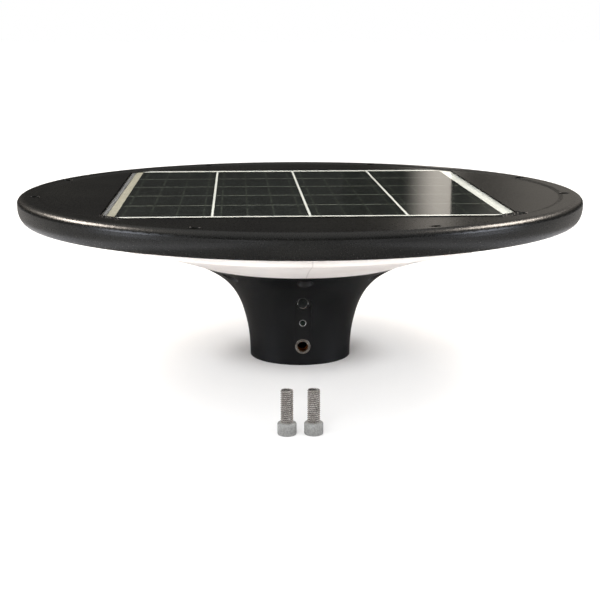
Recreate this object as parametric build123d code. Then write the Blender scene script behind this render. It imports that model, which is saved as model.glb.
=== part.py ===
from build123d import *
import math
import os

# Solar post-top light: a round solar head on a flared neck that slips over a pole.
# Millimetres, +Z up.  The origin is on the pole's axis, at the foot of the neck.
# The controls are on the front of the neck, which faces -Y.

# ---- driving dimensions -------------------------------------------------------------
HEAD_R = 250.0          # widest radius of the head
DECK_Z = 151.0          # flat top deck of the head
CROWN_RISE = 0.8        # how far the rim's crown stands above the deck
CROWN_W = 10.0          # flat width of the crown
CROWN_RAMP_W = 4.0      # slope from the deck up to the crown
NOSE_W = 7.0            # how far the rim's nose runs out from the crown
NOSE_SIDE = (4.8, 7.8)  # the nose is upright between these depths below the crown
RIM_H = 20.0            # from the deck down to the lowest point of the rim
SHELL_DROP = 9.7        # from the rim's foot down to the bottom shell's inner lip
DIFFUSER_DROP = 16.2    # from the rim's foot down to the top of the cone
WALL = 3.0              # moulded wall thickness

COLUMNS = 4             # solar cells across X
ROWS = 5                # solar cells along Y
CELL_W = 74.5
CELL_D = 60.4
CELL_GAP = 2.0
PANEL_MARGIN = 10.5     # white border round the cells
PANEL_CHAMFER = 18.0
GLASS_T = 3.2
GLASS_RISE = 0.3        # how far the glass stands above the deck
SEALANT_W = 1.5
JUNCTION_Y = 110.0      # middle of the terminal box under the panel
JUNCTION_W = 64.0
JUNCTION_D = 40.0

POLE_BORE_R = 31.0      # for a 60.3 mm (2-3/8 in) pole
POLE_DEPTH = 78.0
SLEEVE_T = 4.0
NECK_ROOM = 10.9        # from the pole's sleeve out to the foot of the neck
NECK_FLARE = 52.9       # how far the neck widens on its way up
NECK_TOP_Z = 89.5
FLARE_SHAPE = (         # share of the flare reached at a share of the neck's height
    (0.0227, 0.2346), (0.1021, 0.4581), (0.2136, 0.6257),
    (0.3403, 0.7374), (0.5425, 0.8492), (0.7845, 0.9385))
DIFFUSER_R = 183.0      # outer end of the frosted cone
DIFFUSER_BULGE = 1.4    # how far the cone bows out of straight
DIFFUSER_T = 2.4

CLAMP_Z = 17.6          # height of the clamp screws
INDICATOR_Z = 38.8
BUTTON_Z = 57.8
CAP_R = 3.9             # push button
CAP_CLEARANCE = 0.07
STEM_R = 2.0
STEM_CLEARANCE = 0.07
BUTTON_TRAVEL = 1.0
LENS_R = 2.1            # indicator

BOLT_R = 4.7625         # 3/8 in socket head cap screw, 1 in long
BOLT_HEAD_R = 7.15
BOLT_HEAD_H = 9.5
BOLT_LEN = 25.4
BOLT_SOCKET = 8.0       # across the flats of its hexagon socket
BOLT_SOCKET_DEPTH = 5.0
BOLT_SPOTS = ((-22.0, -238.0), (-2.2, -238.0))
THREAD_CLEARANCE = 0.1375

WELL_ANGLES = (0, 50, 130, 180, 230, 310)        # neck screws, from the front
RIM_SCREW_ANGLES = (22, 81, 111, 158, 202, 249, 279, 338)
CHASSIS_SCREWS = 8
LED_SCREWS = 6
LED_RING_COUNTS = (30, 36, 42)                   # LEDs in each ring, from the inside

CELL_CAN_R = 16.1                                # 32700 battery cells
CELL_CAN_LEN = 70.0
BATTERY_CELLS = 4
TRAY_T = 2.0
CABLE_R = 1.3

# ---- sizes that follow from them ----------------------------------------------------
NUDGE = 1.0                                      # how far a cut runs past a face

CROWN_Z = DECK_Z + CROWN_RISE
CROWN_R = HEAD_R - NOSE_W
RIM_FOOT_Z = DECK_Z - RIM_H
CELLS_W = COLUMNS * CELL_W + (COLUMNS - 1) * CELL_GAP
CELLS_D = ROWS * CELL_D + (ROWS - 1) * CELL_GAP
PANEL_W = CELLS_W + 2 * PANEL_MARGIN
PANEL_D = CELLS_D + 2 * PANEL_MARGIN
GLASS_TOP_Z = DECK_Z + GLASS_RISE
GLASS_Z = GLASS_TOP_Z - GLASS_T
CELL_T = 0.3
RIBBON_T = 0.15
RIBBON_W = 1.2
BACKSHEET_T = 0.8
BACKSHEET_Z = GLASS_Z - 0.6 - BACKSHEET_T        # the cells lie in the 0.6 mm between
POCKET_FLOOR_T = 2.5
HEAD_CEILING_Z = BACKSHEET_Z - POCKET_FLOOR_T    # underside of the panel pocket

RIM_SCREW_R = HEAD_R - 15.0
RIM_SCREW_HEAD_R = 3.5
RIM_RECESS_DEPTH = 3.6
RIM_BOSS_FOOT_Z = DECK_Z - 7.0
RIM_GASKET_R = HEAD_R - 23.5
RIM_GASKET_T = 2.0
RIM_GASKET_W = 3.6
GASKET_SEAT_Z = RIM_FOOT_Z + 4.0
RIB_T = 4.0
SCREW_PILOT_R = 1.6                              # blind holes for self-tapping screws

SHELL_LIP_R = DIFFUSER_R + 5.5                   # inner edge of the bottom shell
SHELL_LIP_Z = RIM_FOOT_Z - SHELL_DROP
SHELL_EDGE_R = CROWN_R - 3.0
SHELL_SLOPE = (RIM_FOOT_Z + 0.5 - SHELL_LIP_Z) / (SHELL_EDGE_R - SHELL_LIP_R)
LEDGE_Z = SHELL_LIP_Z + 5.2                      # flat ledge that carries the diffuser
LEDGE_R = SHELL_LIP_R + 11.5
DIFFUSER_TOP_Z = RIM_FOOT_Z - DIFFUSER_DROP
DIFFUSER_FLANGE_T = 2.0
UPPER_GASKET_T = 0.8

CHASSIS_T = 3.0
CHASSIS_Z = LEDGE_Z + DIFFUSER_FLANGE_T + UPPER_GASKET_T
CHASSIS_TOP_Z = CHASSIS_Z + CHASSIS_T
CHASSIS_R = SHELL_LIP_R + 23.5
CHASSIS_SCREW_R = CHASSIS_R - 6.0
BOARD_T = 1.6
LED_BOARD_Z = CHASSIS_Z - BOARD_T
LED_CHIP_T = 0.8

SLEEVE_R = POLE_BORE_R + SLEEVE_T
SLEEVE_SCREW_R = SLEEVE_R + 15.0
SLEEVE_FLANGE_R = SLEEVE_R + 23.0
SLEEVE_SEAT_Z = NECK_TOP_Z - 5.5
SLEEVE_FLANGE_T = 3.0
SLEEVE_LIP_W = 6.0                               # the lip that stops the pole
NECK_R = SLEEVE_R + NECK_ROOM
NECK_TOP_R = NECK_R + NECK_FLARE                 # where the diffuser starts
NECK_FLANGE_T = 3.0
NECK_GASKET_T = 0.8
PAN_FLOOR_Z = NECK_TOP_Z + DIFFUSER_T + NECK_GASKET_T
PAN_R = NECK_TOP_R - 7.8                         # outside of the chassis's battery pan
PAN_BORE_R = 22.0
PAN_BOSS_H = 7.0
WELL_R = 7.0
WELL_RING_R = NECK_TOP_R - 15.3
WELL_ROOF_Z = NECK_TOP_Z - NECK_FLANGE_T
NECK_SCREW_HOLE_R = 2.3
BASE_T = 3.5
CABLE_HOLE = (0.0, -SLEEVE_FLANGE_R - 6.0)       # control cable, through the neck's roof
CABLE_HOLE_R = 4.5

LED_BOARD_INNER_R = PAN_R + 7
LED_BOARD_OUTER_R = DIFFUSER_R - 5
LED_SCREW_R = LED_BOARD_INNER_R + 5
LED_EDGE = 18.0                                  # from the board's edges to its LEDs
LED_CABLE_HOLE = (LED_BOARD_INNER_R + 8, 0.0)
GROMMET_HOLE_R = 3.5

INSERT_BORE_R = BOLT_R + THREAD_CLEARANCE
INSERT_BODY_R = INSERT_BORE_R + 0.9
INSERT_FLANGE_R = INSERT_BORE_R + 2.0
INSERT_FLANGE_T = 1.1
INSERT_SEAT_Y = NECK_R + 0.9

TRIM_BORE_R = CAP_R + CAP_CLEARANCE
BARREL_R = TRIM_BORE_R + 1.18
BEZEL_INNER_R = TRIM_BORE_R + 1.33
BEZEL_R = BEZEL_INNER_R + 1.7
POCKET_W = 2 * BEZEL_R + 0.5
POCKET_Y = -NECK_R - 0.8                         # flat floor of the control pocket
POCKET_INNER_Y = POCKET_Y + WALL
BEZEL_FACE_Y = POCKET_Y - 3.5
TRIM_BACK_Y = POCKET_Y - 1.0
SEAL_SEAT_Y = POCKET_INNER_Y - 1.3
SEAL_FRONT_Y = SEAL_SEAT_Y - 1.5
CAP_BACK_Y = SEAL_FRONT_Y - BUTTON_TRAVEL - 0.4
CONTROL_BOARD_Y = -SLEEVE_R - 3.4                # front face of the control board
SWITCH_T = 3.5
PLUNGER_TIP_Y = CONTROL_BOARD_Y - SWITCH_T - 0.4
STEM_END_Y = PLUNGER_TIP_Y - BUTTON_TRAVEL - 0.1
INDICATOR_BARREL_R = LENS_R + 0.5
INDICATOR_FLANGE_R = LENS_R + 1.3

TRAY_Z = PAN_FLOOR_Z + CHASSIS_T + 0.2
CELL_AXIS_Z = TRAY_Z + TRAY_T + CELL_CAN_R
CELL_CAN_PITCH = 2 * CELL_CAN_R + 0.8
STRAP_T = 1.0
CONTROLLER_X = PAN_R + 59.0
CONTROLLER_W = 52.0
CONTROLLER_D = 80.0
CONTROLLER_Z = CHASSIS_TOP_Z + 2.6
CONTROLLER_TOP_Z = CONTROLLER_Z + BOARD_T
TERMINAL_FACE_X = CONTROLLER_X - 21
TERMINAL_YS = (-24.0, -8.0, 8.0, 24.0)
CABLE_Z = CONTROLLER_TOP_Z + 2.8


# ---- helpers ------------------------------------------------------------------------
def polar(radius, degrees, z=0.0):
    """A point on a ring; 0 degrees is the front and angles turn towards +X."""
    turn = math.radians(degrees)
    return (radius * math.sin(turn), -radius * math.cos(turn), z)


def rod(radius, z0, z1, x=0.0, y=0.0):
    """An upright cylinder between two heights."""
    low = min(z0, z1)
    return Pos(x, y, low) * Cylinder(
        radius, abs(z1 - z0), align=(Align.CENTER, Align.CENTER, Align.MIN))


def tube(outer, inner, z0, z1, x=0.0, y=0.0):
    """An upright ring between two heights."""
    return rod(outer, z0, z1, x, y) - rod(inner, z0 - NUDGE, z1 + NUDGE, x, y)


def rod_y(radius, y0, y1, z, x=0.0):
    """A cylinder along Y between two places."""
    length = abs(y1 - y0)
    return Pos(x, (y0 + y1) / 2, z) * Rot(90, 0, 0) * Cylinder(radius, length)


def tube_y(outer, inner, y0, y1, z):
    """A ring along Y between two places."""
    low, high = min(y0, y1), max(y0, y1)
    return rod_y(outer, low, high, z) - rod_y(inner, low - NUDGE, high + NUDGE, z)


def block(x0, x1, y0, y1, z0, z1):
    """A box from its six faces."""
    centre = Pos((x0 + x1) / 2, (y0 + y1) / 2, (z0 + z1) / 2)
    return centre * Box(abs(x1 - x0), abs(y1 - y0), abs(z1 - z0))


def turned(*edges):
    """A solid of revolution about Z from a closed outline drawn in XZ."""
    return revolve(Plane.XZ * make_face(list(edges)), Axis.Z)


def path_of(points):
    """Straight edges through (r, z) points."""
    return [Line(a, b) for a, b in zip(points, points[1:])]


def outline_turned(points):
    """A solid of revolution from a closed list of (r, z) corners."""
    return turned(*path_of(list(points) + [points[0]]))


def save(node, shape):
    """Write one node; a group of separate solids goes in as one compound."""
    solids = shape if isinstance(shape, list) else shape.solids()
    body = solids[0] if len(solids) == 1 else Compound(children=list(solids))
    body.label = node
    export_step(body, "parts/" + node + ".step")


os.makedirs("parts", exist_ok=True)


# ---- the head: cover, panel, bottom shell -------------------------------------------
def chamfered_plate(width, depth, chamfer, z0, z1):
    """A flat plate with its four corners cut off."""
    x, y = width / 2, depth / 2
    corners = [(x - chamfer, -y), (x, -y + chamfer), (x, y - chamfer), (x - chamfer, y),
               (-x + chamfer, y), (-x, y - chamfer), (-x, -y + chamfer), (-x + chamfer, -y)]
    face = make_face(Polyline(*corners, close=True))
    return Pos(0, 0, z0) * extrude(face, z1 - z0)


def panel_plate(grow, z0, z1):
    """A plate in the panel's outline, grown by the same amount on each side."""
    return chamfered_plate(PANEL_W + 2 * grow, PANEL_D + 2 * grow, PANEL_CHAMFER, z0, z1)


def cover_skin():
    """The cover's turned skin: flat deck, raised crown and a rounded nose."""
    mid_z = CROWN_Z - NOSE_SIDE[0]
    low_z = CROWN_Z - NOSE_SIDE[1]
    foot_h = low_z - RIM_FOOT_Z
    top_h = CROWN_Z - mid_z
    crown_in = CROWN_R - CROWN_W
    ramp_in = crown_in - CROWN_RAMP_W
    foot_in = CROWN_R - 1.6
    outer = [
        Line((0, DECK_Z), (ramp_in, DECK_Z)),
        Line((ramp_in, DECK_Z), (crown_in, CROWN_Z)),
        Line((crown_in, CROWN_Z), (CROWN_R, CROWN_Z)),
        EllipticalCenterArc((CROWN_R, mid_z), NOSE_W, top_h, 0, arc_size=90),
        Line((HEAD_R, mid_z), (HEAD_R, low_z)),
        EllipticalCenterArc((CROWN_R, low_z), NOSE_W, foot_h, 270, arc_size=90),
    ]
    inner = [
        Line((CROWN_R, RIM_FOOT_Z), (foot_in, RIM_FOOT_Z + WALL)),
        EllipticalCenterArc((foot_in, low_z), HEAD_R - WALL - foot_in, foot_h - WALL,
                            270, arc_size=90),
        Line((HEAD_R - WALL, low_z), (HEAD_R - WALL, mid_z)),
        Line((HEAD_R - WALL, mid_z), (CROWN_R, CROWN_Z - WALL)),
        Line((CROWN_R, CROWN_Z - WALL), (crown_in, DECK_Z - WALL)),
        Line((crown_in, DECK_Z - WALL), (0, DECK_Z - WALL)),
        Line((0, DECK_Z - WALL), (0, DECK_Z)),
    ]
    return turned(*outer, *inner)


def top_cover():
    """Moulded cover with the panel pocket, gasket rib and screw bosses."""
    body = cover_skin()
    body += panel_plate(SEALANT_W + WALL, HEAD_CEILING_Z, DECK_Z - NUDGE)
    body += tube(RIM_GASKET_R + RIB_T / 2, RIM_GASKET_R - RIB_T / 2,
                 GASKET_SEAT_Z + RIM_GASKET_T, DECK_Z - NUDGE)
    for angle in RIM_SCREW_ANGLES:
        x, y, _ = polar(RIM_SCREW_R, angle)
        body += rod(RIM_SCREW_HEAD_R + 2.5, RIM_BOSS_FOOT_Z, DECK_Z - NUDGE, x, y)
    body -= panel_plate(SEALANT_W, BACKSHEET_Z, CROWN_Z + NUDGE)
    body -= junction_opening()
    for angle in RIM_SCREW_ANGLES:
        x, y, _ = polar(RIM_SCREW_R, angle)
        body -= rod(RIM_SCREW_HEAD_R + 1.2, CROWN_Z - RIM_RECESS_DEPTH, CROWN_Z + NUDGE, x, y)
        body -= rod(SCREW_PILOT_R + 0.4, RIM_BOSS_FOOT_Z - NUDGE, CROWN_Z, x, y)
    return body


def head_screw(x, y, seat_z, length, head_r, head_h, shank_r, up=False):
    """A pan-head screw; its head sits on seat_z and its shank points down, or up."""
    way = 1 if up else -1
    head = rod(head_r, seat_z, seat_z - way * head_h, x, y)
    edge = head.edges().group_by(Axis.Z)[0 if up else -1]
    head = fillet(edge, head_h * 0.45)
    shank = rod(shank_r, seat_z, seat_z + way * length, x, y)
    slot_z = seat_z - way * head_h
    cross = block(x - head_r * 0.5, x + head_r * 0.5, y - 0.45, y + 0.45,
                  slot_z - 1, slot_z + 1)
    cross += block(x - 0.45, x + 0.45, y - head_r * 0.5, y + head_r * 0.5,
                   slot_z - 1, slot_z + 1)
    return (head + shank) - cross


def cover_screws():
    seat = CROWN_Z - RIM_RECESS_DEPTH
    return [head_screw(*polar(RIM_SCREW_R, a)[:2], seat, 9.5, RIM_SCREW_HEAD_R, 2.4, 1.6)
            for a in RIM_SCREW_ANGLES]


def cell_centres():
    """Centres of the solar cells, row by row."""
    for row in range(ROWS):
        for column in range(COLUMNS):
            x = (column - (COLUMNS - 1) / 2) * (CELL_W + CELL_GAP)
            y = (row - (ROWS - 1) / 2) * (CELL_D + CELL_GAP)
            yield x, y


def solar_cells():
    z0 = BACKSHEET_Z + BACKSHEET_T
    return [block(x - CELL_W / 2, x + CELL_W / 2, y - CELL_D / 2, y + CELL_D / 2,
                  z0, z0 + CELL_T) for x, y in cell_centres()]


def cell_ribbons():
    """Four flat ribbons along each column of cells, joined at the back and the front."""
    z0 = BACKSHEET_Z + BACKSHEET_T + CELL_T
    ribbons = []
    for column in range(COLUMNS):
        centre = (column - (COLUMNS - 1) / 2) * (CELL_W + CELL_GAP)
        for share in (-0.42, -0.14, 0.14, 0.42):
            x = centre + share * CELL_W
            ribbons.append(block(x - RIBBON_W / 2, x + RIBBON_W / 2,
                                 -CELLS_D / 2 + 1, CELLS_D / 2 - 1, z0, z0 + RIBBON_T))
    return ribbons


def junction_opening():
    """Window in the floor of the panel pocket, 2 mm larger all round than the box."""
    half_w = JUNCTION_W / 2 + 2
    half_d = JUNCTION_D / 2 + 2
    return block(-half_w, half_w, JUNCTION_Y - half_d, JUNCTION_Y + half_d,
                 HEAD_CEILING_Z - NUDGE, BACKSHEET_Z + NUDGE)


def panel_junction_box():
    """Sealed terminal box under the back of the panel, with a rounded lid."""
    box = block(-JUNCTION_W / 2, JUNCTION_W / 2, JUNCTION_Y - JUNCTION_D / 2,
                JUNCTION_Y + JUNCTION_D / 2, CHASSIS_TOP_Z + 1.5, BACKSHEET_Z)
    box = fillet(box.edges().filter_by(Axis.Z), 4)
    return fillet(box.faces().sort_by(Axis.Z)[0].edges(), 1.2)


def panel_sealant():
    """Silicone bead round the glass, a little proud of the deck."""
    bead = panel_plate(SEALANT_W, BACKSHEET_Z, GLASS_TOP_Z)
    bead += panel_plate(SEALANT_W + 0.6, DECK_Z, GLASS_TOP_Z)
    return bead - panel_plate(0, BACKSHEET_Z - NUDGE, GLASS_TOP_Z + NUDGE)


def shell_underside(radius):
    """Height of the bottom shell's underside at a radius."""
    return SHELL_LIP_Z + (radius - SHELL_LIP_R) * SHELL_SLOPE


def bottom_shell():
    """Shallow dish under the rim; its inner ledge carries the diffuser."""
    seat_in = RIM_GASKET_R - 4
    seat_out = RIM_GASKET_R + 4
    body = outline_turned([
        (SHELL_LIP_R, shell_underside(SHELL_LIP_R)),
        (SHELL_EDGE_R, shell_underside(SHELL_EDGE_R)),
        (SHELL_EDGE_R, shell_underside(SHELL_EDGE_R) + WALL),
        (seat_out, shell_underside(seat_out) + WALL),
        (seat_out, GASKET_SEAT_Z),
        (seat_in, GASKET_SEAT_Z),
        (seat_in, shell_underside(seat_in) + WALL),
        (LEDGE_R, shell_underside(LEDGE_R) + WALL),
        (LEDGE_R, LEDGE_Z),
        (SHELL_LIP_R, LEDGE_Z),
    ])
    for angle in RIM_SCREW_ANGLES:
        x, y, _ = polar(RIM_SCREW_R, angle)
        body += rod(4.2, shell_underside(RIM_SCREW_R) + 1, RIM_BOSS_FOOT_Z, x, y)
        body -= rod(SCREW_PILOT_R, RIM_BOSS_FOOT_Z - 7, RIM_BOSS_FOOT_Z + NUDGE, x, y)
    for angle in chassis_screw_angles():
        x, y, _ = polar(CHASSIS_SCREW_R, angle)
        body += rod(5.0, shell_underside(CHASSIS_SCREW_R) + 1, CHASSIS_Z, x, y)
        body -= rod(SCREW_PILOT_R, CHASSIS_Z - 3.4, CHASSIS_Z + NUDGE, x, y)
    return body


def rim_gasket():
    return tube(RIM_GASKET_R + RIM_GASKET_W / 2, RIM_GASKET_R - RIM_GASKET_W / 2,
                GASKET_SEAT_Z, GASKET_SEAT_Z + RIM_GASKET_T)


# ---- the light: diffuser, chassis, LED board ----------------------------------------
def diffuser():
    """Frosted cone from the neck up to the bottom shell, with a flange at each end."""
    bend = ((NECK_TOP_R + DIFFUSER_R) / 2,
            (NECK_TOP_Z + DIFFUSER_TOP_Z) / 2 + DIFFUSER_BULGE)
    rim_r = DIFFUSER_R + 4.5
    flange_r = LEDGE_R - 1.0
    top_z = LEDGE_Z + DIFFUSER_FLANGE_T
    return turned(
        ThreePointArc((NECK_TOP_R, NECK_TOP_Z), bend, (DIFFUSER_R, DIFFUSER_TOP_Z)),
        ThreePointArc((DIFFUSER_R, DIFFUSER_TOP_Z),
                      (rim_r - 1.0, DIFFUSER_TOP_Z + 2.2), (rim_r, DIFFUSER_TOP_Z + 5)),
        *path_of([
            (rim_r, DIFFUSER_TOP_Z + 5), (rim_r, LEDGE_Z), (flange_r, LEDGE_Z),
            (flange_r, top_z), (rim_r - DIFFUSER_T, top_z),
            (rim_r - DIFFUSER_T, DIFFUSER_TOP_Z + 6.5),
            (DIFFUSER_R - 1.2, DIFFUSER_TOP_Z + DIFFUSER_T)]),
        ThreePointArc((DIFFUSER_R - 1.2, DIFFUSER_TOP_Z + DIFFUSER_T),
                      (bend[0], bend[1] + DIFFUSER_T), (NECK_TOP_R, NECK_TOP_Z + DIFFUSER_T)),
        *path_of([
            (NECK_TOP_R, NECK_TOP_Z + DIFFUSER_T),
            (WELL_RING_R - 5.5, NECK_TOP_Z + DIFFUSER_T),
            (WELL_RING_R - 5.5, NECK_TOP_Z), (NECK_TOP_R, NECK_TOP_Z)]),
    ) - neck_screw_holes(NECK_SCREW_HOLE_R)


def neck_screw_holes(radius):
    """Holes for the neck screws, right through to the top of the pan's bosses."""
    holes = [rod(radius, WELL_ROOF_Z - NUDGE, PAN_FLOOR_Z + CHASSIS_T + PAN_BOSS_H + 2,
                 *polar(WELL_RING_R, a)[:2]) for a in WELL_ANGLES]
    return Compound(children=holes)


def chassis_screw_angles():
    return [360 / CHASSIS_SCREWS * k + 10 for k in range(CHASSIS_SCREWS)]


def led_screw_angles():
    return [360 / LED_SCREWS * k + 20 for k in range(LED_SCREWS)]


def chassis():
    """Cast plate with a deep pan: the flange carries the LEDs, the pan the battery."""
    floor_z = PAN_FLOOR_Z
    body = outline_turned([
        (PAN_BORE_R, floor_z), (PAN_R, floor_z), (PAN_R, CHASSIS_Z), (CHASSIS_R, CHASSIS_Z),
        (CHASSIS_R, CHASSIS_TOP_Z), (PAN_R - CHASSIS_T, CHASSIS_TOP_Z),
        (PAN_R - CHASSIS_T, floor_z + CHASSIS_T), (PAN_BORE_R, floor_z + CHASSIS_T)])
    for angle in WELL_ANGLES:
        x, y, _ = polar(WELL_RING_R, angle)
        body += rod(5.5, floor_z + 1, floor_z + CHASSIS_T + PAN_BOSS_H, x, y)
    body -= neck_screw_holes(1.7)
    for angle in chassis_screw_angles():
        body -= rod(2.0, CHASSIS_Z - NUDGE, CHASSIS_TOP_Z + NUDGE,
                    *polar(CHASSIS_SCREW_R, angle)[:2])
    for angle in led_screw_angles():
        body -= rod(1.3, CHASSIS_Z - NUDGE, CHASSIS_TOP_Z + NUDGE,
                    *polar(LED_SCREW_R, angle)[:2])
    body -= rod(GROMMET_HOLE_R, floor_z - NUDGE, floor_z + CHASSIS_T + NUDGE, *CABLE_HOLE)
    return body - rod(GROMMET_HOLE_R, CHASSIS_Z - NUDGE, CHASSIS_TOP_Z + NUDGE,
                      *LED_CABLE_HOLE)


def led_ring_radii():
    """The rings of LEDs are evenly spread over the board."""
    first = LED_BOARD_INNER_R + LED_EDGE
    last = LED_BOARD_OUTER_R - LED_EDGE
    gaps = len(LED_RING_COUNTS) - 1
    return [first + (last - first) * k / gaps for k in range(gaps + 1)]


def led_board():
    board = tube(LED_BOARD_OUTER_R, LED_BOARD_INNER_R, LED_BOARD_Z, CHASSIS_Z)
    for angle in led_screw_angles():
        board -= rod(1.7, LED_BOARD_Z - NUDGE, CHASSIS_Z + NUDGE,
                     *polar(LED_SCREW_R, angle)[:2])
    return board


def led_chips():
    """Rings of surface-mounted LEDs that shine down into the cone."""
    chips = []
    for radius, count in zip(led_ring_radii(), LED_RING_COUNTS):
        for k in range(count):
            angle = 360 * (k + 0.5) / count
            chip = Box(3.5, 2.8, LED_CHIP_T)
            x, y, _ = polar(radius, angle)
            chips.append(Pos(x, y, LED_BOARD_Z - LED_CHIP_T / 2) * Rot(0, 0, angle) * chip)
    return chips


def led_screws():
    return [head_screw(*polar(LED_SCREW_R, a)[:2], LED_BOARD_Z, 4.4, 2.6, 1.6, 1.25, up=True)
            for a in led_screw_angles()]


def reflector():
    """Bright cone round the pan that turns the light outwards."""
    low_z = PAN_FLOOR_Z + 5
    high_z = LED_BOARD_Z - 0.6
    return outline_turned([
        (PAN_R + 0.3, low_z), (PAN_R + 1.3, low_z), (PAN_R + 6.3, high_z),
        (PAN_R + 5.3, high_z)])


def chassis_screws():
    return [head_screw(*polar(CHASSIS_SCREW_R, a)[:2], CHASSIS_TOP_Z, 6.0, 3.4, 2.2, 1.6)
            for a in chassis_screw_angles()]


def upper_gasket():
    return tube(LEDGE_R - 2.0, SHELL_LIP_R - 2.5,
                LEDGE_Z + DIFFUSER_FLANGE_T, CHASSIS_Z)


def lower_gasket():
    low_z = NECK_TOP_Z + DIFFUSER_T
    ring = tube(PAN_R - 0.5, WELL_RING_R - 5, low_z, PAN_FLOOR_Z)
    return ring - neck_screw_holes(NECK_SCREW_HOLE_R)


# ---- the neck -----------------------------------------------------------------------
def neck_curve():
    """The flared outside of the neck, from its foot to the diffuser."""
    points = [(NECK_R + out * NECK_FLARE, up * NECK_TOP_Z) for out, up in FLARE_SHAPE]
    return Spline((NECK_R, 0), *points, (NECK_TOP_R, NECK_TOP_Z),
                  tangents=((0.01, 1), (1, 0.42)))


def neck_inside():
    """The same curve moved in by the wall, as a second smooth curve."""
    curve = neck_curve()
    points = []
    for share in (0, 0.15, 0.3, 0.45, 0.6, 0.72, 0.84):
        place = curve.position_at(share)
        along = curve.tangent_at(share)
        points.append((place.X - along.Y * WALL, place.Y + along.X * WALL))
    return points


def neck_outer_body():
    return turned(neck_curve(), *path_of([
        (NECK_TOP_R, NECK_TOP_Z), (0, NECK_TOP_Z), (0, 0), (NECK_R, 0)]))


def neck_hollow():
    """The room inside the neck, between the base ring and the roof."""
    points = neck_inside()
    end_r = points[-1][0] + 2
    return turned(Spline(*points), *path_of([
        points[-1], (end_r, WELL_ROOF_Z), (SLEEVE_FLANGE_R + 3, WELL_ROOF_Z),
        (SLEEVE_FLANGE_R + 3, SLEEVE_SEAT_Z - 3.5), (0, SLEEVE_SEAT_Z - 3.5),
        (0, -NUDGE), (points[0][0], -NUDGE), points[0]]))


def pocket_tool(grow, y_inner, y_outer):
    """The control pocket's outline: straight sides and a round top."""
    half = POCKET_W / 2 + grow
    tool = block(-half, half, y_outer, y_inner, CLAMP_Z - 4 - grow, BUTTON_Z)
    return tool + rod_y(half, y_outer, y_inner, BUTTON_Z)


def sleeve_screw_spots():
    return [polar(SLEEVE_SCREW_R, a)[:2] for a in (45, 135, 225, 315)]


def board_screw_spots():
    return [(side * 8.0, z) for side in (-1, 1) for z in (INDICATOR_Z - 5.5, BUTTON_Z + 8.5)]


def neck_shell():
    """Moulded neck: flare, roof, base ring, control pocket, screw wells and bosses."""
    outside = neck_outer_body()
    hollow = neck_hollow()
    body = outside - hollow
    body += tube(NECK_R - 1, SLEEVE_R, 0, BASE_T)
    inner = pocket_tool(WALL, POCKET_INNER_Y, POCKET_Y - 40)
    for angle in WELL_ANGLES:
        x, y, _ = polar(WELL_RING_R, angle)
        inner += rod(WELL_R + 2, NECK_TOP_Z - 20, WELL_ROOF_Z + 1, x, y)
    inner += rod_y(9.5, -SLEEVE_R, -NECK_R - 2, CLAMP_Z)
    inner += rod_y(9.5, SLEEVE_R, NECK_R + 2, CLAMP_Z)
    for x, y in sleeve_screw_spots():
        inner += rod(4.5, SLEEVE_SEAT_Z - 14, SLEEVE_SEAT_Z - 3, x, y)
    for x, z in board_screw_spots():
        inner += rod_y(2.6, CONTROL_BOARD_Y - 0.001, POCKET_Y - 20, z, x)
    body += inner & outside
    body -= rod(SLEEVE_R + 0.1, -NUDGE, SLEEVE_SEAT_Z + NUDGE)
    body -= rod(SLEEVE_FLANGE_R + 0.5, SLEEVE_SEAT_Z, NECK_TOP_Z + NUDGE)
    body -= pocket_tool(0, POCKET_Y, POCKET_Y - 60)
    for angle in WELL_ANGLES:
        x, y, _ = polar(WELL_RING_R, angle)
        body -= rod(WELL_R, NECK_TOP_Z / 2, WELL_ROOF_Z, x, y)
        body -= rod(NECK_SCREW_HOLE_R, WELL_ROOF_Z - NUDGE, NECK_TOP_Z + NUDGE, x, y)
    for way in (-1, 1):
        body -= rod_y(INSERT_BODY_R, way * (SLEEVE_R - 2), way * (NECK_R + 9), CLAMP_Z)
        body -= rod_y(INSERT_FLANGE_R, way * INSERT_SEAT_Y, way * (NECK_R + 9), CLAMP_Z)
    for x, y in sleeve_screw_spots():
        body -= rod(1.7, SLEEVE_SEAT_Z - 12, SLEEVE_SEAT_Z + NUDGE, x, y)
    for x, z in board_screw_spots():
        body -= rod_y(1.0, CONTROL_BOARD_Y + NUDGE, CONTROL_BOARD_Y - 4.2, z, x)
    body -= rod_y(BARREL_R, POCKET_Y - NUDGE, POCKET_INNER_Y + 9, BUTTON_Z)
    body -= rod_y(INDICATOR_BARREL_R, POCKET_Y - NUDGE, POCKET_INNER_Y + 9, INDICATOR_Z)
    return body - rod(CABLE_HOLE_R, SLEEVE_SEAT_Z - 5, NECK_TOP_Z + NUDGE, *CABLE_HOLE)


def neck_screws():
    return [head_screw(*polar(WELL_RING_R, a)[:2], WELL_ROOF_Z, 14.0, 4.0, 2.6, 1.7, up=True)
            for a in WELL_ANGLES]


def pole_sleeve():
    """Metal sleeve for the pole: a flange to the roof, and a lip that stops the pole."""
    top_z = SLEEVE_SEAT_Z + SLEEVE_FLANGE_T
    body = outline_turned([
        (POLE_BORE_R, 0), (SLEEVE_R, 0), (SLEEVE_R, SLEEVE_SEAT_Z),
        (SLEEVE_FLANGE_R, SLEEVE_SEAT_Z), (SLEEVE_FLANGE_R, top_z),
        (POLE_BORE_R - SLEEVE_LIP_W, top_z), (POLE_BORE_R - SLEEVE_LIP_W, POLE_DEPTH),
        (POLE_BORE_R, POLE_DEPTH)])
    for x, y in sleeve_screw_spots():
        body -= rod(2.2, SLEEVE_SEAT_Z - NUDGE, top_z + NUDGE, x, y)
    return body - rod_y(INSERT_BORE_R + 0.2, -NECK_R, NECK_R, CLAMP_Z)


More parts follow.
